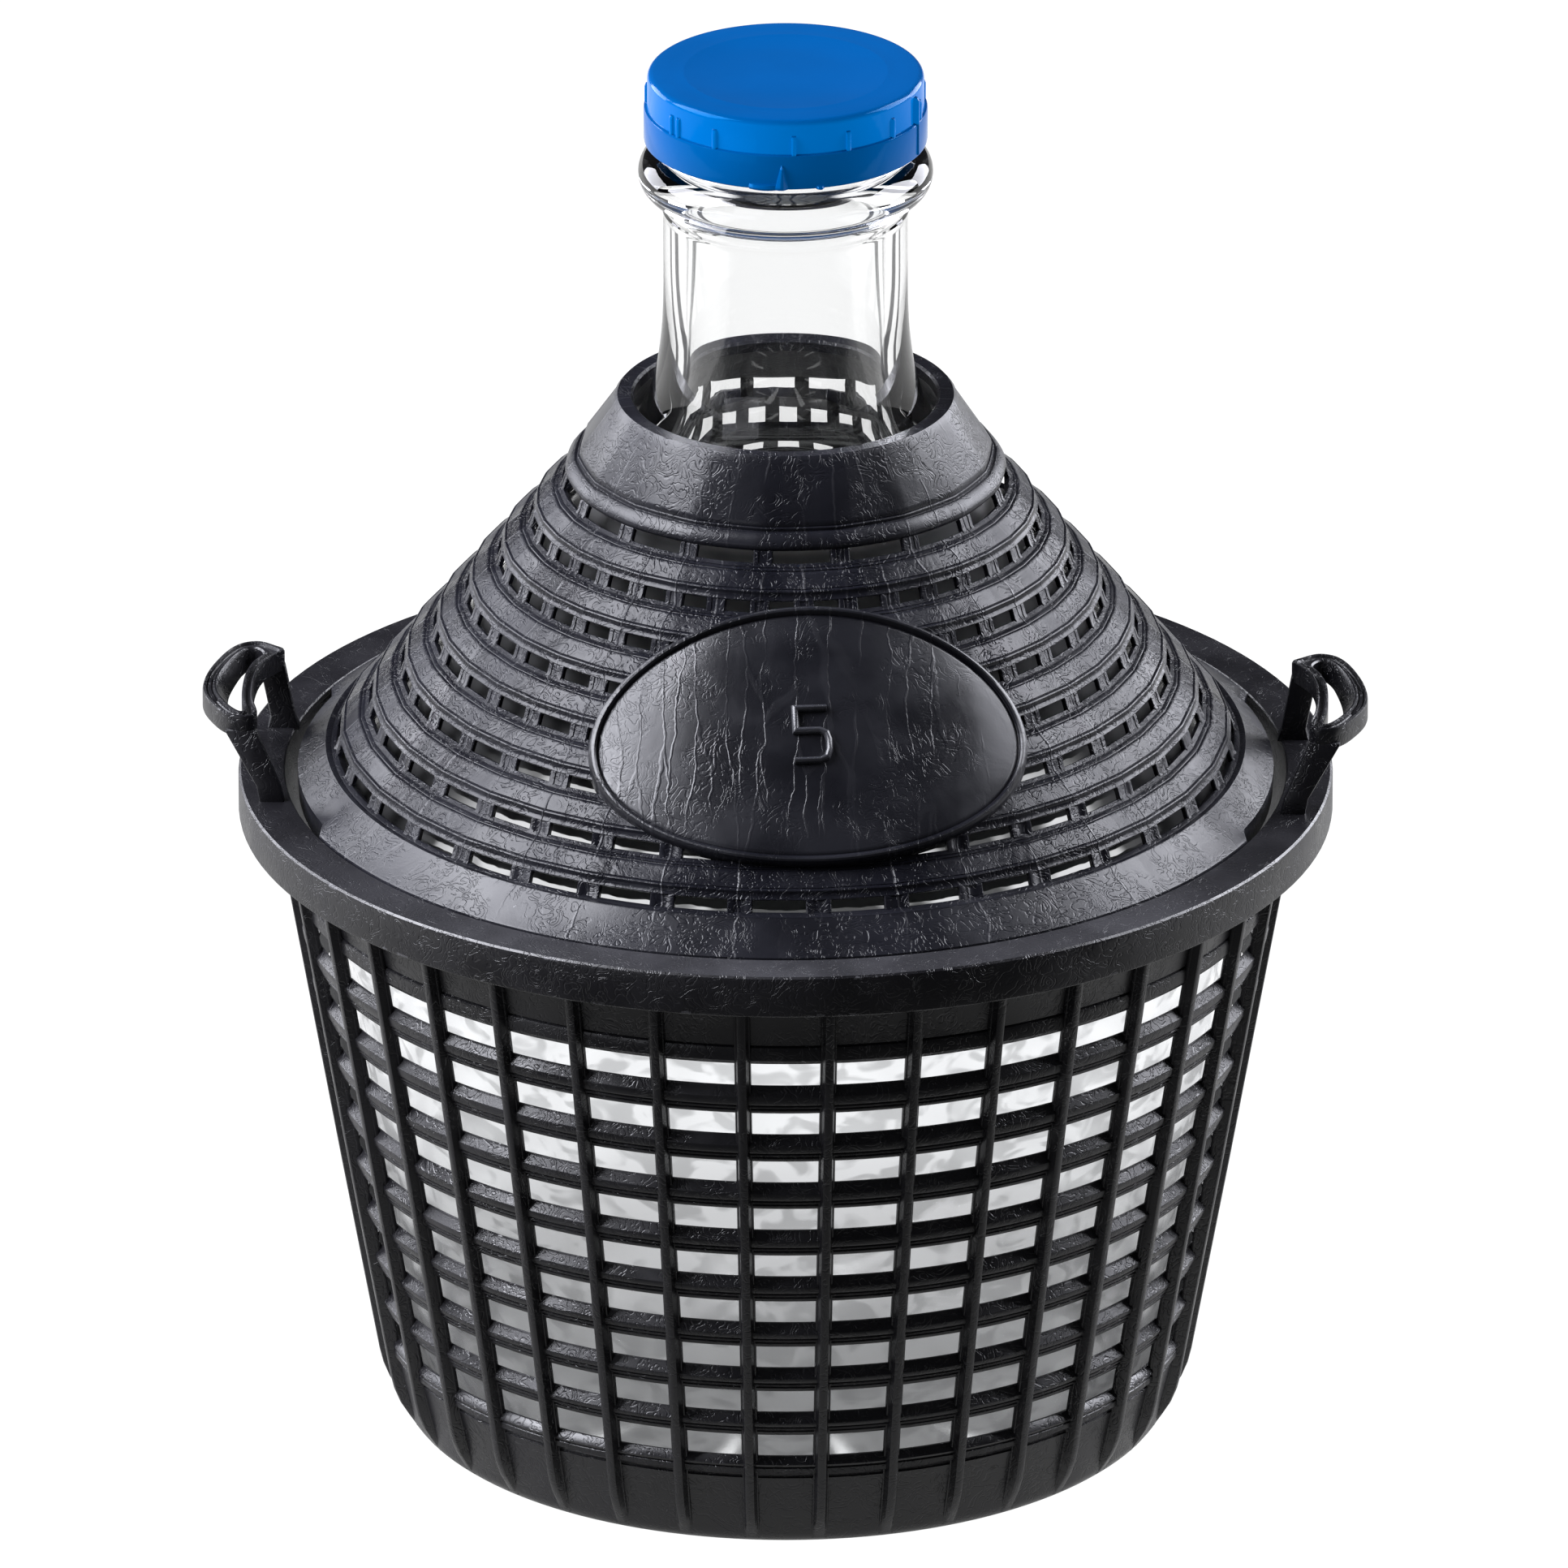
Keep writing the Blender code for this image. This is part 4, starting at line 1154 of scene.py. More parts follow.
@dataclass
class Handle:
    """One lifting handle: a ring with a channel in its top, on two legs."""

    side: Side
    top: float = 172.2 * MM
    foot: float = 152.0 * MM
    leg_top: float = 168.6 * MM
    turn: float = math.radians(-1.8)
    draft: float = 2.4 * MM
    steps: int = 6
    torus: float = 2.0
    flare_start: float = 2.0
    flare_span: float = 8.6
    channel: Point = (0.4, 0.66)
    bridge: Point = (5.6, 7.4)
    bridge_drop: float = 0.3 * MM

    # Outer edge and hole edge at each station round the ring: outwards and along the rim, in mm
    stations = (
        (112.9, 17.4, 117.6, 14.6), (115.0, 19.6, 118.2, 16.8), (118.8, 22.0, 119.6, 18.0),
        (122.8, 20.6, 121.6, 17.4), (126.0, 15.5, 123.9, 13.0), (129.0, 6.0, 126.2, 5.0),
        (130.2, -2.0, 127.1, -2.0), (129.8, -9.0, 126.4, -8.4), (127.0, -16.6, 124.2, -14.5),
        (124.2, -21.0, 122.0, -18.2), (121.0, -22.5, 120.8, -19.0), (118.3, -21.9, 120.4, -17.9),
        (117.4, -18.8, 120.7, -16.0), (118.5, -12.0, 121.2, -11.5), (118.8, -4.0, 121.4, -4.0),
        (118.3, 4.0, 121.0, 4.0), (117.0, 10.0, 119.8, 9.6), (114.6, 14.6, 118.3, 13.0),
    )
    # Section of the ring: share of the way from hole to outer edge, and height over the top, in mm
    section = (
        (-1.0, -5.0), (-0.6, -3.4), (-0.2, -1.3), (0.0, -0.5), (0.08, -0.12), (0.2, 0.0), (0.3, -0.15),
        (0.36, -0.75), (0.44, -0.95), (0.62, -0.95), (0.7, -0.75), (0.76, -0.15), (0.85, 0.0),
        (0.95, -0.14), (1.0, -0.6), (1.0, -4.5), (0.96, -4.95), (0.85, -5.2), (-0.9, -5.2),
    )

    def build(self, name: str) -> Piece:
        """Model the ring and both legs as one piece.

        Args:
            name: name of the piece.

        Returns:
            The handle, in its place.
        """
        front = self.leg([(111.0, 116.6, -25.4, -22.9, self.foot), (112.0, 117.4, -24.8, -22.4, 156.0 * MM),
                          (117.6, 124.6, -22.6, -19.8, self.leg_top)])
        rear = self.leg([(109.6, 117.0, 18.0, 22.3, self.foot), (110.6, 116.2, 18.4, 21.2, 155.0 * MM),
                         (112.9, 118.6, 16.2, 19.3, self.leg_top)])
        piece = joined(name, [self.ring(), front, rear])

        def place(point: Vector) -> Vector:
            """Put a point on this side of the basket."""
            return Vector(around([(point.x * self.side.value, point.y, point.z)], self.turn)[0])

        return reshaped(piece, place)

    def ring(self) -> Piece:
        """The ring, turned as a plain torus and then drawn out to the handle's outline.

        Returns:
            The piece.
        """
        edge = curve_through(self.stations, self.steps, closed=True)
        count = len(edge)
        section = [(self.torus + share, depth) for share, depth in self.section]
        ring = turned("ring", section, steps=count, start=0.0)

        def draw_out(point: Vector) -> Vector:
            """Move a point of the torus to its place on the handle.

            Args:
                point: the point, with its share of the way out and its depth in millimetres.

            Returns:
                The place on the handle.
            """
            number = round(math.atan2(point.y, point.x) / (2 * math.pi) * count) % count
            share = math.hypot(point.x, point.y) - self.torus
            out, along, hole_out, hole_along = (value * MM for value in edge[number])
            outer = Vector((out, along))
            hole = Vector((hole_out, hole_along))
            spot = number / count * len(self.stations)
            if share < 0:
                way = (spot - self.flare_start) / self.flare_span
                swing = max(0.0, math.sin(math.pi * way)) if 0 < way < 1 else 0.0
                flat = hole + (hole - outer).normalized() * (-share) * self.draft * swing ** 0.5
            else:
                flat = hole.lerp(outer, share)
            bridged = self.channel[0] < share < self.channel[1] and self.bridge[0] < spot < self.bridge[1]
            depth = -self.bridge_drop if bridged else point.z * MM
            return Vector((flat.x, flat.y, self.top + depth))

        return reshaped(ring, draw_out)

    def leg(self, levels: Sequence[tuple[float, float, float, float, float]]) -> Piece:
        """One leg through levels of nearest, farthest, first and last place, in millimetres, and height."""
        sections = [[(near * MM, first * MM, z), (far * MM, first * MM, z),
                     (far * MM, last * MM, z), (near * MM, last * MM, z)]
                    for near, far, first, last, z in levels]
        return bevelled(lofted("leg", sections), 0.5 * MM)


@dataclass
class Cover:
    """The slotted cone cover: terraced rings on pillars, base band, collar and plaque."""

    finish: Material
    collar_finish: Material
    plaque_finish: Material
    numeral_finish: Material
    turn: float = COVER_TURN
    rows: int = 8
    pitch: float = 11.5 * MM
    top_radius: float = 48.66 * MM
    top_height: float = 222.17 * MM
    fall: float = math.radians(50.9)
    skin: float = 1.8 * MM
    slot_half: float = 1.25 * MM
    facets: int = 36
    facet_share: float = 0.75
    ring_steps: int = 216
    base_level: float = 151.4 * MM
    base_radius: float = 111.8 * MM
    spigot_radius: float = 109.4 * MM
    plaque_drop: float = 41.6 * MM
    plaque_half_width: float = 48.8 * MM
    plaque_half_height: float = 29.8 * MM
    top_slot: float = 12.6 * MM
    pillar_width: float = 4.3 * MM
    pillar_growth: float = 0.22 * MM
    settle_rounds: int = 12
    settle_share: float = 0.9

    def at(self, along: float, out: float = 0.0) -> Point:
        """Radius and height of a point on the cone, from its top slot row."""
        return (self.top_radius + along * math.cos(self.fall) + out * math.sin(self.fall),
                self.top_height - along * math.sin(self.fall) + out * math.cos(self.fall))

    def face(self, start: float, steps: Sequence[Point]) -> list[Point]:
        """Points down the cone from a start, each as drop and stand in millimetres."""
        return [self.at(start + drop * MM, out * MM) for drop, out in steps]

    def build(self) -> None:
        """Model and dress every piece of the cover."""
        dress(self.rings(), self.finish, Body.COVER, "cone_cover")
        dress(self.pillars(), self.finish, Body.COVER)
        dress(self.base(), self.collar_finish, Body.COVER)
        dress(self.collar(), self.collar_finish, Body.COVER)
        dress(self.plaque(), self.plaque_finish, Body.COVER)
        dress(self.numeral(), self.numeral_finish, Body.COVER)

    def flat(self, piece: Piece) -> Piece:
        """Give a ring the soft facets of the mould."""
        return faceted(piece, self.facets, FRONT + self.turn, lambda level: self.facet_share)

    def rings(self) -> Piece:
        """The terraced rings between the slot rows, hollow behind and thin at the slots.

        Returns:
            The piece.
        """
        rings = []
        end = self.pitch / MM - self.slot_half / MM + 0.1
        for row in range(self.rows - 1):
            start = row * self.pitch
            outline = self.face(start, [
                (1.2, -0.7), (1.2, 0.35), (1.35, 0.6), (2.3, 0.9), (2.45, 0.78), (2.6, 0.95), (3.1, 1.15),
                (3.25, 1.0), (3.4, 1.0), (3.6, 1.3), (3.85, 1.45), (4.3, 1.5), (6.0, 1.8), (7.6, 2.05),
                (7.75, 1.92), (7.9, 2.05), (8.15, 2.25), (8.45, 2.25), (8.7, 2.05), (8.95, 1.8),
                (9.3, 1.65), (9.8, 1.6), (end - 0.15, 1.65), (end, 1.55), (end, 1.2),
                (8.6, 0.95), (4.2, 0.1)])
            rings.append(turned("ring", outline, steps=self.ring_steps, start=FRONT + self.turn))
        return self.flat(joined("cover_rings", rings))

    def pillars(self) -> Piece:
        """The pillars that cross every slot row, each with two upright ridges.

        Returns:
            The piece.
        """
        made = []
        for row in range(self.rows):
            count = self.facets // 2 if row == 0 else self.facets
            chord = 2 * self.at(row * self.pitch)[0] * math.sin(math.pi / count)
            width = chord - self.top_slot if row == 0 else self.pillar_width + self.pillar_growth * (row - 1)
            half = width / 2
            angle = FRONT + self.turn + (math.pi / count if row == 0 else 0.0)
            across = [(-half, -1.1), (-half, -0.2), (-half + 0.25 * MM, 0.0), (-half * 0.5, 0.0),
                      (-half * 0.4, -0.18), (half * 0.4, -0.18), (half * 0.5, 0.0),
                      (half - 0.25 * MM, 0.0), (half, -0.2), (half, -1.1)]
            sections = []
            for drop, stand in ((-1.4, 1.5), (-0.9, 1.45), (1.0, 0.72), (1.6, 0.74), (2.4, 0.5)):
                section = []
                for side, out in across:
                    radius, height = self.at(row * self.pitch + drop * MM, (out + stand) * MM)
                    section.append((radius, side, height))
                sections.append(around(section, angle))
            made.append(repeated(lofted("pillar", sections), count))
        return joined("cover_pillars", made)

    def base(self) -> Piece:
        """The broad band under the last slot row, its foot in the rim and the spigot below it.

        Returns:
            The piece.
        """
        last = (self.rows - 1) * self.pitch
        lift = self.base_level
        outline = [
            self.at(last + 1.2 * MM, -self.skin),
            *self.face(last, [(1.2, 0.35), (1.4, 0.6), (2.3, 1.0), (2.7, 1.9), (2.95, 2.15), (3.25, 2.1)]),
            *beside(self.base_radius, lift, [(-0.5, 1.75), (-0.1, 1.4), (0.0, 1.0), (0.0, 0.0)]),
            *beside(self.spigot_radius, lift, [(0.0, 0.0), (-0.4, -3.8), (-2.0, -3.8), (-2.0, 1.0)]),
            self.at(last + 5.0 * MM, -self.skin),
        ]
        piece = turned("cover_base", outline, start=FRONT + self.turn)
        limit = self.base_radius - 2.6 * MM
        handle_turn, handle_reach = 1.8, 21.5

        def relieve(point: Vector) -> Vector:
            """Cut the foot back behind each handle.

            Args:
                point: a point of the base.

            Returns:
                Its new place.
            """
            radius = math.hypot(point.x, point.y)
            off = abs(math.degrees(math.atan2(point.y, abs(point.x))) + math.copysign(handle_turn, point.x))
            if off > handle_reach or radius <= limit or point.z < lift - MM:
                return point
            scale = limit / radius
            return Vector((point.x * scale, point.y * scale, point.z))

        return reshaped(piece, relieve)

    def collar(self) -> Piece:
        """The collar round the neck, with a thick ridge at its foot and a rounded top edge.

        Returns:
            The piece.
        """
        top, bore = 242.2 * MM, 33.9 * MM
        outline = self.face(0.0, [
            (-1.9, 1.0), (-1.4, 1.2), (-1.45, 1.6), (-1.8, 2.2), (-2.4, 2.55), (-4.6, 2.6), (-5.2, 2.4),
            (-5.5, 1.9), (-5.75, 1.8), (-6.0, 2.1), (-6.2, 2.3), (-6.45, 2.25), (-6.65, 2.0), (-6.9, 2.3)])
        outline += [
            (45.9 * MM, 230.0 * MM),
            (38.6 * MM, 240.4 * MM),
            (38.2 * MM, 241.4 * MM),
            (37.5 * MM, top),
            *beside(bore, top, [(0.6, 0.0), (0.0, -0.5), (0.0, -2.6)]),
            (43.9 * MM, 227.6 * MM),
        ]
        piece = turned("cover_collar", outline, start=FRONT + self.turn)
        count = self.facets // 2
        edge = FRONT + self.turn + math.pi / count

        def share(level: float) -> float:
            """Flat in the middle of the collar, rounder at its foot and round at its top edge."""
            fade = 1.0 if level > 231 * MM else 0.3 + 0.7 * max(0.0, (level - 227 * MM) / (4 * MM))
            return min(1.0, max(0.0, (top - 1.5 * MM - level) / (6.0 * MM))) * fade

        return faceted(piece, count, edge, share)

    def on_cone(self, across: float, up: float, out: float) -> Vector:
        """Place a point of the plaque over the cone.

        Args:
            across: distance to the right of the plaque's middle.
            up: distance up the slope from its middle.
            out: how far it stands off the cone.

        Returns:
            The point in space, with the cover's turn.
        """
        radius, height = self.at(self.plaque_drop)
        slope = math.tan(self.fall)
        normal = Vector((0.0, -math.sin(self.fall), math.cos(self.fall)))
        start = Vector((across, -radius + up * math.cos(self.fall), height + up * math.sin(self.fall)))
        reach = out
        for _ in range(self.settle_rounds):
            point = start + normal * reach
            over = point.z + slope * math.hypot(point.x, point.y) - height - slope * radius
            reach -= (over * math.cos(self.fall) - out) * self.settle_share
        point = start + normal * reach
        return Vector(around([tuple(point)], self.turn)[0])

    def plaque(self) -> Piece:
        """The oval plaque with a rounded bead round it, turned flat and then laid over the cone.

        Returns:
            The piece.
        """
        width, height = self.plaque_half_width, self.plaque_half_height
        border = 3.2
        # Section of the edge: distance in from the outer edge and stand off the cone, in mm
        edge = [(3.0, 3.05), (2.35, 2.95), (2.1, 2.75), (1.9, 2.95), (1.65, 3.6), (1.25, 3.95), (0.85, 4.0),
                (0.45, 3.75), (0.15, 3.1), (0.0, 2.2), (0.0, -0.9)]
        inner = [(0.0, 3.15), (0.2, 3.15), (0.4, 3.15), (0.6, 3.12), (0.8, 3.08)]
        outline = inner + [(1.0 + border - distance, stand) for distance, stand in edge] + [(0.0, -0.9)]
        disc = turned("cover_plaque", outline, steps=144, start=0.0)

        def lay(point: Vector) -> Vector:
            """Move a point of the flat disc onto the cone.

            Args:
                point: the point; to a radius of 1 a share of the field, and beyond it millimetres.

            Returns:
                The place on the cone.
            """
            reach = math.hypot(point.x, point.y)
            angle = math.atan2(point.y, point.x)
            rim = Vector((width * math.cos(angle), height * math.sin(angle)))
            normal = Vector((height * math.cos(angle), width * math.sin(angle))).normalized()
            inset = rim - normal * border * MM
            flat = inset * reach if reach <= 1.0 else inset + normal * (reach - 1.0) * MM
            return self.on_cone(flat.x, flat.y, point.z * MM)

        return reshaped(disc, lay)

    def numeral(self) -> Piece:
        """The raised figure on the plaque, a round stroke laid over the cone.

        Returns:
            The piece.
        """
        stroke = [(3.6, 6.0), (-3.4, 6.0), (-3.4, 0.9), (1.8, 0.9), (3.4, 0.2), (3.9, -1.4), (3.9, -3.6),
                  (3.3, -5.3), (1.8, -6.0), (-4.0, -6.0)]
        half, middle, rise, sides = 0.8, 3.45, 1.35, 8
        corners = [Vector(point) for point in stroke]
        sections = []
        for number, corner in enumerate(corners):
            here = max(number, 1)
            before = (corners[here] - corners[here - 1]).normalized()
            after = (corners[number + 1] - corner).normalized() if number < len(corners) - 1 else before
            tangent = (before + after).normalized()
            across = Vector((-tangent.y, tangent.x)) / max(0.5, tangent.dot(after))
            section = []
            for step in range(sides):
                swing = 2 * math.pi * step / sides
                flat = corner + across * half * math.cos(swing)
                stand = middle + rise * math.sin(swing)
                section.append(self.on_cone(flat.x * MM, flat.y * MM, stand * MM))
            sections.append(section)
        return bevelled(lofted("cover_numeral", sections), 0.15 * MM)


@dataclass
class Bottle:
    """The glass bottle: body, shoulder, neck with its bead, and mouth."""

    clear: Material
    wall: Material
    wall_below: float = 228.0 * MM

    def build(self) -> None:
        """Model the glass and dress its body and its neck."""
        piece = turned("bottle_glass", self.outside() + self.inside(), steps=120)
        piece.data.materials.append(self.clear)
        piece.data.materials.append(self.wall)
        for face in piece.data.polygons:
            outer = face.normal.dot(Vector((face.center.x, face.center.y, 0.0))) > 0
            face.material_index = int(outer and face.center.z < self.wall_below)
        dress(piece, self.clear, Body.BOTTLE, "glass_bottle", smooth=50.0)

    def outside(self) -> list[Point]:
        """Outer section from the middle of the foot up to the mouth.

        Returns:
            Its points, as radius and height.
        """
        low = [(0.0, 8.3), (40.0, 7.9), (62.0, 6.8), (69.5, 5.4), (74.0, 5.35), (79.0, 7.6), (82.4, 12.0),
               (84.2, 18.4), (88.6, 45.0), (94.2, 80.0), (99.6, 117.0), (101.9, 129.0), (102.2, 138.0),
               (99.9, 148.5), (95.0, 157.6), (86.5, 168.2), (52.6, 209.8)]
        high = [(52.6, 209.8), (43.3, 220.6), (36.7, 229.8), (32.1, 238.5), (29.3, 246.5), (27.8, 256.0),
                (27.25, 266.0), (27.2, 280.0), (27.2, 286.4)]
        marks = [(27.45, 286.7), (27.45, 287.0), (27.2, 287.3), (27.2, 288.7), (27.5, 289.0), (27.5, 289.3)]
        bead = arc((27.6, 295.6), 5.2, -76.0, 76.0, 14)
        finish = [(28.0, 301.6), (27.9, 303.0), (27.9, 314.6), (27.5, 315.6), (27.0, 315.8)]
        points = curve_through(low, 4)[:-1] + curve_through(high, 4) + marks + bead + finish
        return beside(0.0, 0.0, points)

    def inside(self) -> list[Point]:
        """Inner section from the mouth down to the middle of the foot.

        Returns:
            Its points, as radius and height.
        """
        neck = [(23.0, 315.8), (22.4, 315.2), (22.2, 313.0), (22.2, 290.0), (22.2, 264.0), (22.45, 252.0),
                (23.2, 244.5), (24.75, 237.0), (27.7, 229.5), (32.8, 221.0), (39.8, 212.5), (48.8, 203.6)]
        body = [(48.8, 203.6), (83.0, 162.9), (91.2, 153.3), (96.0, 146.2), (98.8, 138.0), (98.6, 129.0),
                (96.2, 117.0), (90.8, 80.0), (85.2, 45.0), (80.8, 19.5), (78.4, 14.0), (73.6, 10.4),
                (66.0, 9.8), (40.0, 11.2), (0.0, 11.6)]
        points = curve_through(neck, 4)[:-1] + curve_through(body, 4)
        return beside(0.0, 0.0, points)


@dataclass
class Cap:
    """The blue screw cap: skirt, upper band with grip ribs, flat top, tab and liner."""

    finish: Material
    foam: Material
    low: float = 303.2 * MM
    ledge: float = CAP_LEDGE
    top: float = 319.2 * MM
    skirt_radius: float = 31.55 * MM
    band_radius: float = 30.75 * MM
    bore: float = 29.0 * MM
    underside: float = 317.6 * MM
    edge: float = 1.5 * MM
    liner_low: float = 316.1 * MM
    tab_turn: float = math.radians(-1.2)
    # Places of the grip ribs round the front, in degrees from the middle
    front_ribs = (-54.7, -50.3, -30.6, 3.4, 26.7, 50.3)
    # Faint ring of the top: radius, and height over its edge, in mm
    top_rings = ((26.0, -0.02), (23.2, -0.06), (22.9, -0.02), (22.5, -0.02), (22.2, -0.08), (12.0, -0.1),
                 (0.0, -0.1))

    def build(self) -> None:
        """Model and dress the cap and its liner."""
        dress(self.shell(), self.finish, Body.CAP, "screw_cap")
        dress(self.ribs(), self.finish, Body.CAP)
        dress(self.tab(), self.finish, Body.CAP)
        dress(self.liner(), self.foam, Body.LINER, "cap_liner")

    def shell(self) -> Piece:
        """Skirt, ledge, band and the top with its rounded edge and faint ring.

        Returns:
            The piece.
        """
        outline = [
            *beside(self.skirt_radius, self.low, [
                (-1.65, 0.3), (-1.35, 0.0), (-0.5, 0.0), (-0.1, 0.3), (0.0, 0.9)]),
            *beside(self.skirt_radius, self.ledge, [(0.0, -0.5), (-0.15, -0.12), (-0.45, 0.0)]),
            *beside(self.band_radius, self.ledge, [(0.1, 0.1), (0.0, 0.35)]),
            *arc((self.band_radius - self.edge, self.top - self.edge), self.edge, 0.0, 90.0, 6),
            *beside(0.0, self.top, self.top_rings),
            (0.0, self.underside),
            (self.bore, self.underside),
            (self.bore, self.ledge),
            (29.8 * MM, self.ledge - 0.6 * MM),
        ]
        return turned("cap_shell", outline)

    def ribs(self) -> Piece:
        """The short grip ribs that rise from the ledge, and the long one over both bands.

        Returns:
            The piece.
        """
        made = []
        rear = [74.0 + 24.0 * number for number in range(9)]
        for degrees in (*self.front_ribs, *rear):
            made.append(self.rib(degrees, self.ledge - 0.4 * MM, self.ledge + 4.5 * MM, 0.65 * MM))
        made.append(self.rib(68.3, self.low + 0.8 * MM, self.top - 1.6 * MM, 1.15 * MM))
        return joined("cap_ribs", made)

    def rib(self, degrees: float, low: float, high: float, proud: float) -> Piece:
        """One rib with a rounded back and a sloping head.

        Args:
            degrees: its place round the cap, from the front.
            low: height of its foot.
            high: height of its head.
            proud: how far it stands off the band.

        Returns:
            The rib.
        """
        radius = self.band_radius
        half = 0.5 * MM
        levels = ((low, proud), (high - 0.9 * MM, proud), (high - 0.25 * MM, proud * 0.6), (high, 0.0))
        sections = []
        for level, stand in levels:
            section = [(radius - 0.6 * MM, -half, level), (radius + stand * 0.75, -half, level),
                       (radius + stand, -half * 0.5, level), (radius + stand, half * 0.5, level),
                       (radius + stand * 0.75, half, level), (radius - 0.6 * MM, half, level)]
            sections.append(around(section, FRONT + math.radians(degrees)))
        return lofted("rib", sections)

    def tab(self) -> Piece:
        """The gusset on the skirt, the lip beside it and the small nub.

        Returns:
            The piece.
        """
        radius = self.skirt_radius
        gusset = []
        for lift, half, stand in ((0.2, 1.9, 0.9), (0.9, 1.6, 1.25), (5.2, 0.55, 0.8), (5.9, 0.3, 0.1)):
            corners = beside(radius, 0.0, [(-0.5, -half), (stand * 0.6, -half), (stand, -half * 0.35),
                                           (stand, half * 0.1), (-0.5, half)])
            section = [(out, side, self.low + lift * MM) for out, side in corners]
            gusset.append(around(section, FRONT + self.tab_turn))
        pieces = [bevelled(lofted("gusset", gusset), 0.15 * MM)]
        for middle, half_turn, rise in ((-8.6, 6.2, 1.3), (14.0, 1.6, 0.8)):
            lip = []
            for number in range(9):
                share = number / 8
                degrees = middle + half_turn * (2 * share - 1)
                stand = 1.2 * math.sin(math.pi * min(max(share, 0.04), 0.96)) ** 0.5
                corners = beside(radius, self.low, [(-0.6, 0.1), (stand - 0.3, 0.1), (stand, 0.5 * rise),
                                                    (stand - 0.3, rise), (-0.6, 1.15 * rise)])
                section = [(out, 0.0, height) for out, height in corners]
                lip.append(around(section, FRONT + math.radians(degrees)))
            pieces.append(lofted("lip", lip))
        return joined("cap_tab", pieces)

    def liner(self) -> Piece:
        """The sealing disc, with the ring that the mouth of the bottle presses in.

        Returns:
            The piece.
        """
        outline = beside(0.0, self.liner_low, [
            (0.0, 0.0), (21.6, 0.0), (22.2, 0.25), (26.6, 0.25), (27.0, 0.0), (27.45, 0.0), (27.6, 0.15),
            (27.6, 1.05), (27.45, 1.2), (0.0, 1.2)])
        return turned("liner_disc", outline, steps=72)


@dataclass(frozen=True)
class SoftBox:
    """One soft light that faces the object.

    Its bearing is in degrees round from the front, and its height in degrees above the floor. It stands
    at its reach from the object, in metres, and its size is the width and height of its face.
    """

    name: str
    side: Side
    bearing: float
    height: float
    reach: float
    size: Point
    power: float
    colour: Colour = (0.91, 0.92, 1.0)
    aim: Place = (0.0, 0.0, 0.16)

    def build(self) -> None:
        """Add the light."""
        turn, lift = math.radians(self.bearing), math.radians(self.height)
        towards = Vector((self.side.value * math.sin(turn) * math.cos(lift),
                          -math.cos(turn) * math.cos(lift), math.sin(lift)))
        place = towards * self.reach + Vector(self.aim)
        bpy.ops.object.light_add(type='AREA', location=place)
        lamp = bpy.context.object
        lamp.name = "soft_box_" + self.name
        lamp.rotation_euler = (Vector(self.aim) - place).to_track_quat('-Z', 'Y').to_euler()
        lamp.data.shape = 'RECTANGLE'
        lamp.data.size, lamp.data.size_y = self.size
        lamp.data.energy = self.power
        lamp.data.color = self.colour


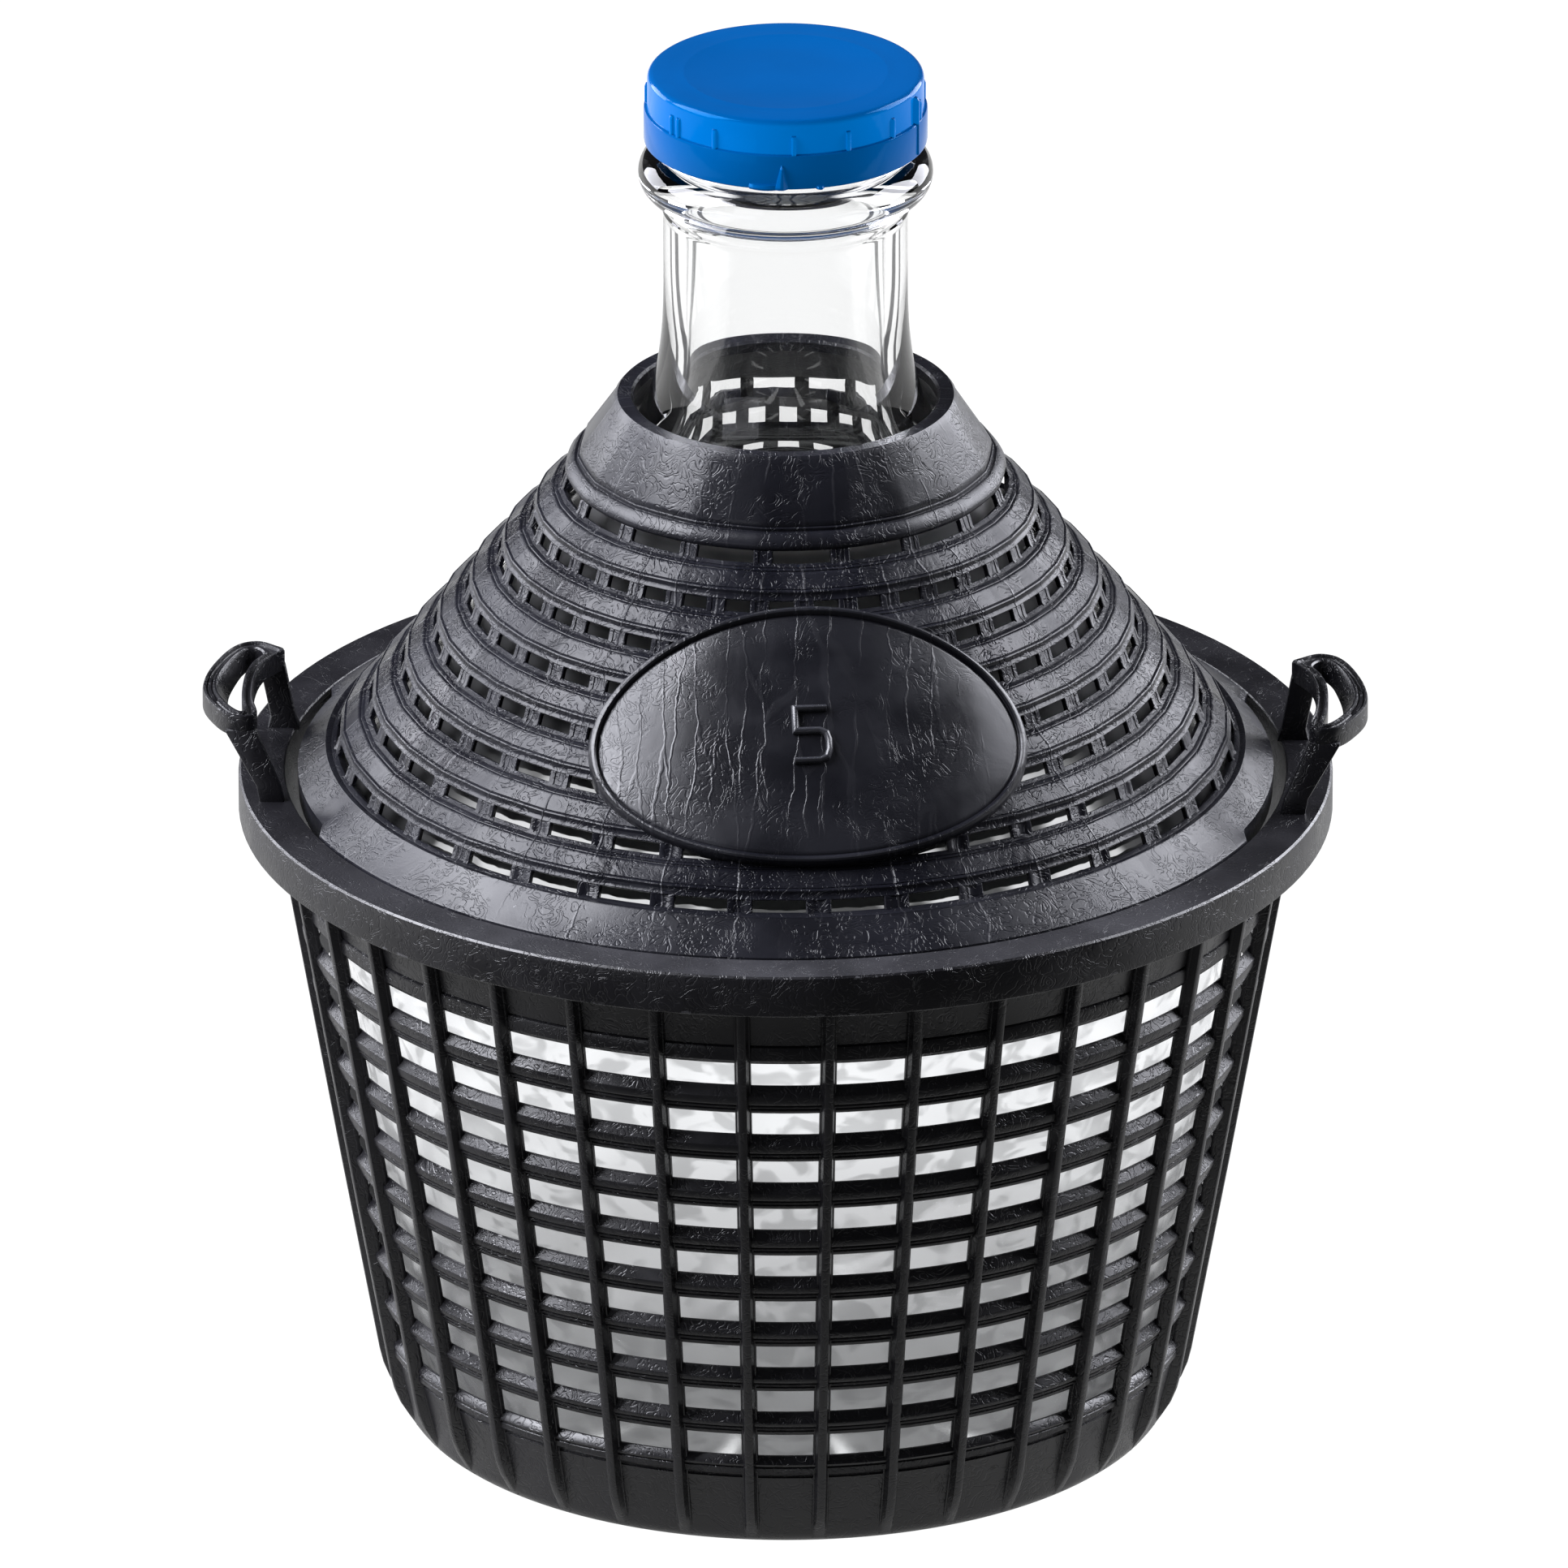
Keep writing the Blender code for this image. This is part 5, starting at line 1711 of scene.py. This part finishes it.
@dataclass
class Studio:
    """The pale floor, the soft lights and the camera.

    A pair of places on the floor is where a mask starts and where it is full.
    """

    elevation: float = math.radians(22.6)
    distance: float = 7.0
    lens: float = 718.3
    sensor: float = 36.0
    farthest: float = 50.0
    target: Place = (-0.36 * MM, 0.0, 160.0 * MM)
    aim_drop: float = 11.13 * MM
    floor_size: float = 8.0
    floor_colour: Colour = (0.02, 0.02, 0.02)
    floor_glow: float = 1.05
    clear_behind: Point = (-0.3, -0.1)
    near_strip: tuple[Point, Point] = ((0.24, 0.26), (0.31, 0.29))
    far_strip: tuple[Point, Point] = ((0.38, 0.40), (0.48, 0.45))
    strip_light: float = 0.03
    mirrored_behind: Point = (-0.28, 0.04)
    mirrored_light: Point = (0.035, 0.75)
    left_card: Point = (-0.5, -0.56)
    left_card_front: Point = (-0.45, -0.4)
    right_card: Point = (0.5, 0.56)
    right_card_ends: tuple[Point, Point] = ((-0.32, -0.28), (-0.1, -0.14))
    around_colour: Colour = (0.045, 0.045, 0.05)
    lights: tuple[SoftBox, ...] = (
        SoftBox("left", Side.LEFT, 84.0, 40.0, 1.3, (1.0, 0.95), 52.0),
        SoftBox("right", Side.RIGHT, 106.0, 31.0, 1.3, (0.75, 0.95), 27.0),
        SoftBox("back_left", Side.LEFT, 128.0, 15.0, 1.6, (0.8, 0.8), 17.0),
        SoftBox("back_right", Side.RIGHT, 134.0, 13.0, 1.6, (0.7, 0.8), 14.0),
        SoftBox("front", Side.LEFT, 38.0, 6.0, 2.2, (1.2, 0.8), 3.0),
    )

    def build(self) -> None:
        """Set up floor, surroundings, lights and camera."""
        self.floor()
        self.world()
        for light in self.lights:
            light.build()
        self.camera()

    def floor(self) -> None:
        """A large pale floor, kept dim in reflections of the front and in what glass bends aside."""
        bpy.ops.object.select_all(action='DESELECT')
        bpy.ops.mesh.primitive_plane_add(size=self.floor_size, location=(0, 0, 0))
        floor = bpy.context.object
        floor.name = "studio_floor"
        paper = Surface("floor_paper", 0.0)
        across, depth = paper.axis(0), paper.axis(1)
        path = paper.node("LightPath")
        bent = path.outputs["Is Transmission Ray"]
        through = paper.product(bent, self.seen_through_glass(paper, across, depth))
        mirrored = paper.product(self.seen_mirrored(paper, across, depth), paper.inverse(bent))
        shade = paper.most(path.outputs["Is Camera Ray"], paper.math('ADD', through, mirrored))
        paper.give("Base Color", rgba(self.floor_colour))
        paper.give("Roughness", 0.9)
        paper.give("Emission Color", paper.mix(shade, BLACK, WHITE))
        paper.give("Emission Strength", self.floor_glow)
        floor.data.materials.append(paper.material)

    def seen_through_glass(self, paper: Surface, across: Socket, depth: Socket) -> Socket:
        """The floor as glass bends it: dark in front, with two dim strips along each side.

        Args:
            paper: the floor's nodes.
            across: place from left to right.
            depth: place from front to back.

        Returns:
            The mask of the light.
        """
        aside = paper.math('ABSOLUTE', across)
        strips = paper.most(paper.band(aside, *self.near_strip), paper.band(aside, *self.far_strip))
        dimmed = paper.ramp(paper.inverse(strips), 0.0, 1.0, self.strip_light, 1.0)
        return paper.product(paper.ramp(depth, *self.clear_behind), dimmed)

    def seen_mirrored(self, paper: Surface, across: Socket, depth: Socket) -> Socket:
        """The floor as glossy faces mirror it: bright behind, with a white card at either side.

        Args:
            paper: the floor's nodes.
            across: place from left to right.
            depth: place from front to back.

        Returns:
            The mask of the light.
        """
        behind = paper.ramp(depth, *self.mirrored_behind, *self.mirrored_light)
        left = paper.product(paper.ramp(across, *self.left_card), paper.ramp(depth, *self.left_card_front))
        right = paper.product(paper.ramp(across, *self.right_card), paper.band(depth, *self.right_card_ends))
        return paper.most(behind, paper.most(left, right))

    def world(self) -> None:
        """Dim neutral surroundings behind a white backdrop."""
        world = bpy.data.worlds.new("studio")
        world.use_nodes = True
        tree = Tree(world.node_tree)
        seen = tree.node("LightPath").outputs["Is Camera Ray"]
        shade = tree.mix(seen, rgba(self.around_colour), WHITE)
        tree.fill(world.node_tree.nodes["Background"].inputs["Color"], shade)
        bpy.context.scene.world = world

    def camera(self) -> None:
        """Add the camera at the photograph's angle."""
        towards = Vector((0.0, -math.cos(self.elevation), math.sin(self.elevation)))
        upwards = Vector((0.0, math.sin(self.elevation), math.cos(self.elevation)))
        place = Vector(self.target) + towards * self.distance - upwards * self.aim_drop
        bpy.ops.object.camera_add(location=place, rotation=(math.pi / 2 - self.elevation, 0.0, 0.0))
        camera = bpy.context.object
        camera.name = "camera"
        camera.data.lens = self.lens
        camera.data.sensor_width = self.sensor
        camera.data.clip_end = self.farthest
        bpy.context.scene.camera = camera
        bpy.context.scene.view_settings.view_transform = 'Standard'


def main() -> None:
    """Build the finishes, the four sub-assemblies and the studio."""
    logging.basicConfig(level=logging.INFO, format="%(name)s: %(message)s")
    effects = Effects()
    lip_edges = ((122.4 * MM, 143.3 * MM), (122.35 * MM, 152.4 * MM))
    basket = MouldedPlastic(
        "basket_black", (0.0054, 0.0052, 0.0068), roughness=(0.27, 0.4), gloss=0.57, grain_cover=0.36,
        grain_depth=0.05 * MM, wrinkle_depth=0.06 * MM, fleck_share=0.16, rubbed_edges=lip_edges,
        # Painted highlight on the basket's upward faces at the front
        painted_top_sheen=0.14).build(effects)
    grey = (0.0070, 0.0072, 0.0105)
    edge = FRONT + COVER_TURN
    cover = MouldedPlastic(
        "cover_grey", grey, roughness=(0.20, 0.40), gloss=0.25, grain_cover=0.4, grain_depth=0.08 * MM,
        wrinkle_depth=0.26 * MM, line_count=36.0, line_phase=edge, line_show=0.13).build(effects)
    band = MouldedPlastic(
        "cover_grey_band", grey, roughness=(0.28, 0.42), gloss=0.36, grain_cover=0.4,
        grain_depth=0.06 * MM, wrinkle_depth=0.08 * MM, line_count=36.0, line_phase=edge,
        line_wander=6.0 * MM, line_depth=0.06 * MM).build(effects)
    plaque = MouldedPlastic(
        "cover_grey_plaque", (0.0062, 0.0064, 0.0092), roughness=(0.26, 0.38), grain_cover=0.5,
        grain_depth=0.03 * MM, wrinkle_depth=0.07 * MM, fleck_share=0.06, crease_show=0.03,
        crease_depth=0.06 * MM).build(effects)
    # Painted highlight: the numeral is of the plaque's plastic but painted several times paler, for the light
    # on its edges
    numeral = MouldedPlastic(
        "cover_grey_numeral_painted_highlight", (0.030, 0.0305, 0.035), roughness=(0.24, 0.30), grain_depth=0.02 * MM,
        fleck_share=0.0).build(effects)
    clear = Glass("glass_clear").build()
    wall = WallGlass("glass_wall", transmission=0.94, ripple=0.2 * MM, gloss=0.26).build()
    blue = GlossPlastic(
        "cap_blue", (0.0, 0.057, 0.205), 0.11, gloss=0.22, gloss_tint=(0.0, 0.42, 1.0),
        # Painted light on the cap's sides
        painted_side_glow=(0.0, 0.118, 0.40), glow_above=CAP_LEDGE).build()
    foam = GlossPlastic("liner_foam", (0.82, 0.82, 0.78), 0.7, grain=0.1 * MM).build()
    Basket(basket).build()
    Cover(cover, band, plaque, numeral).build()
    Bottle(clear, wall).build()
    Cap(blue, foam).build()
    Studio().build()


if __name__ == "__main__":
    main()
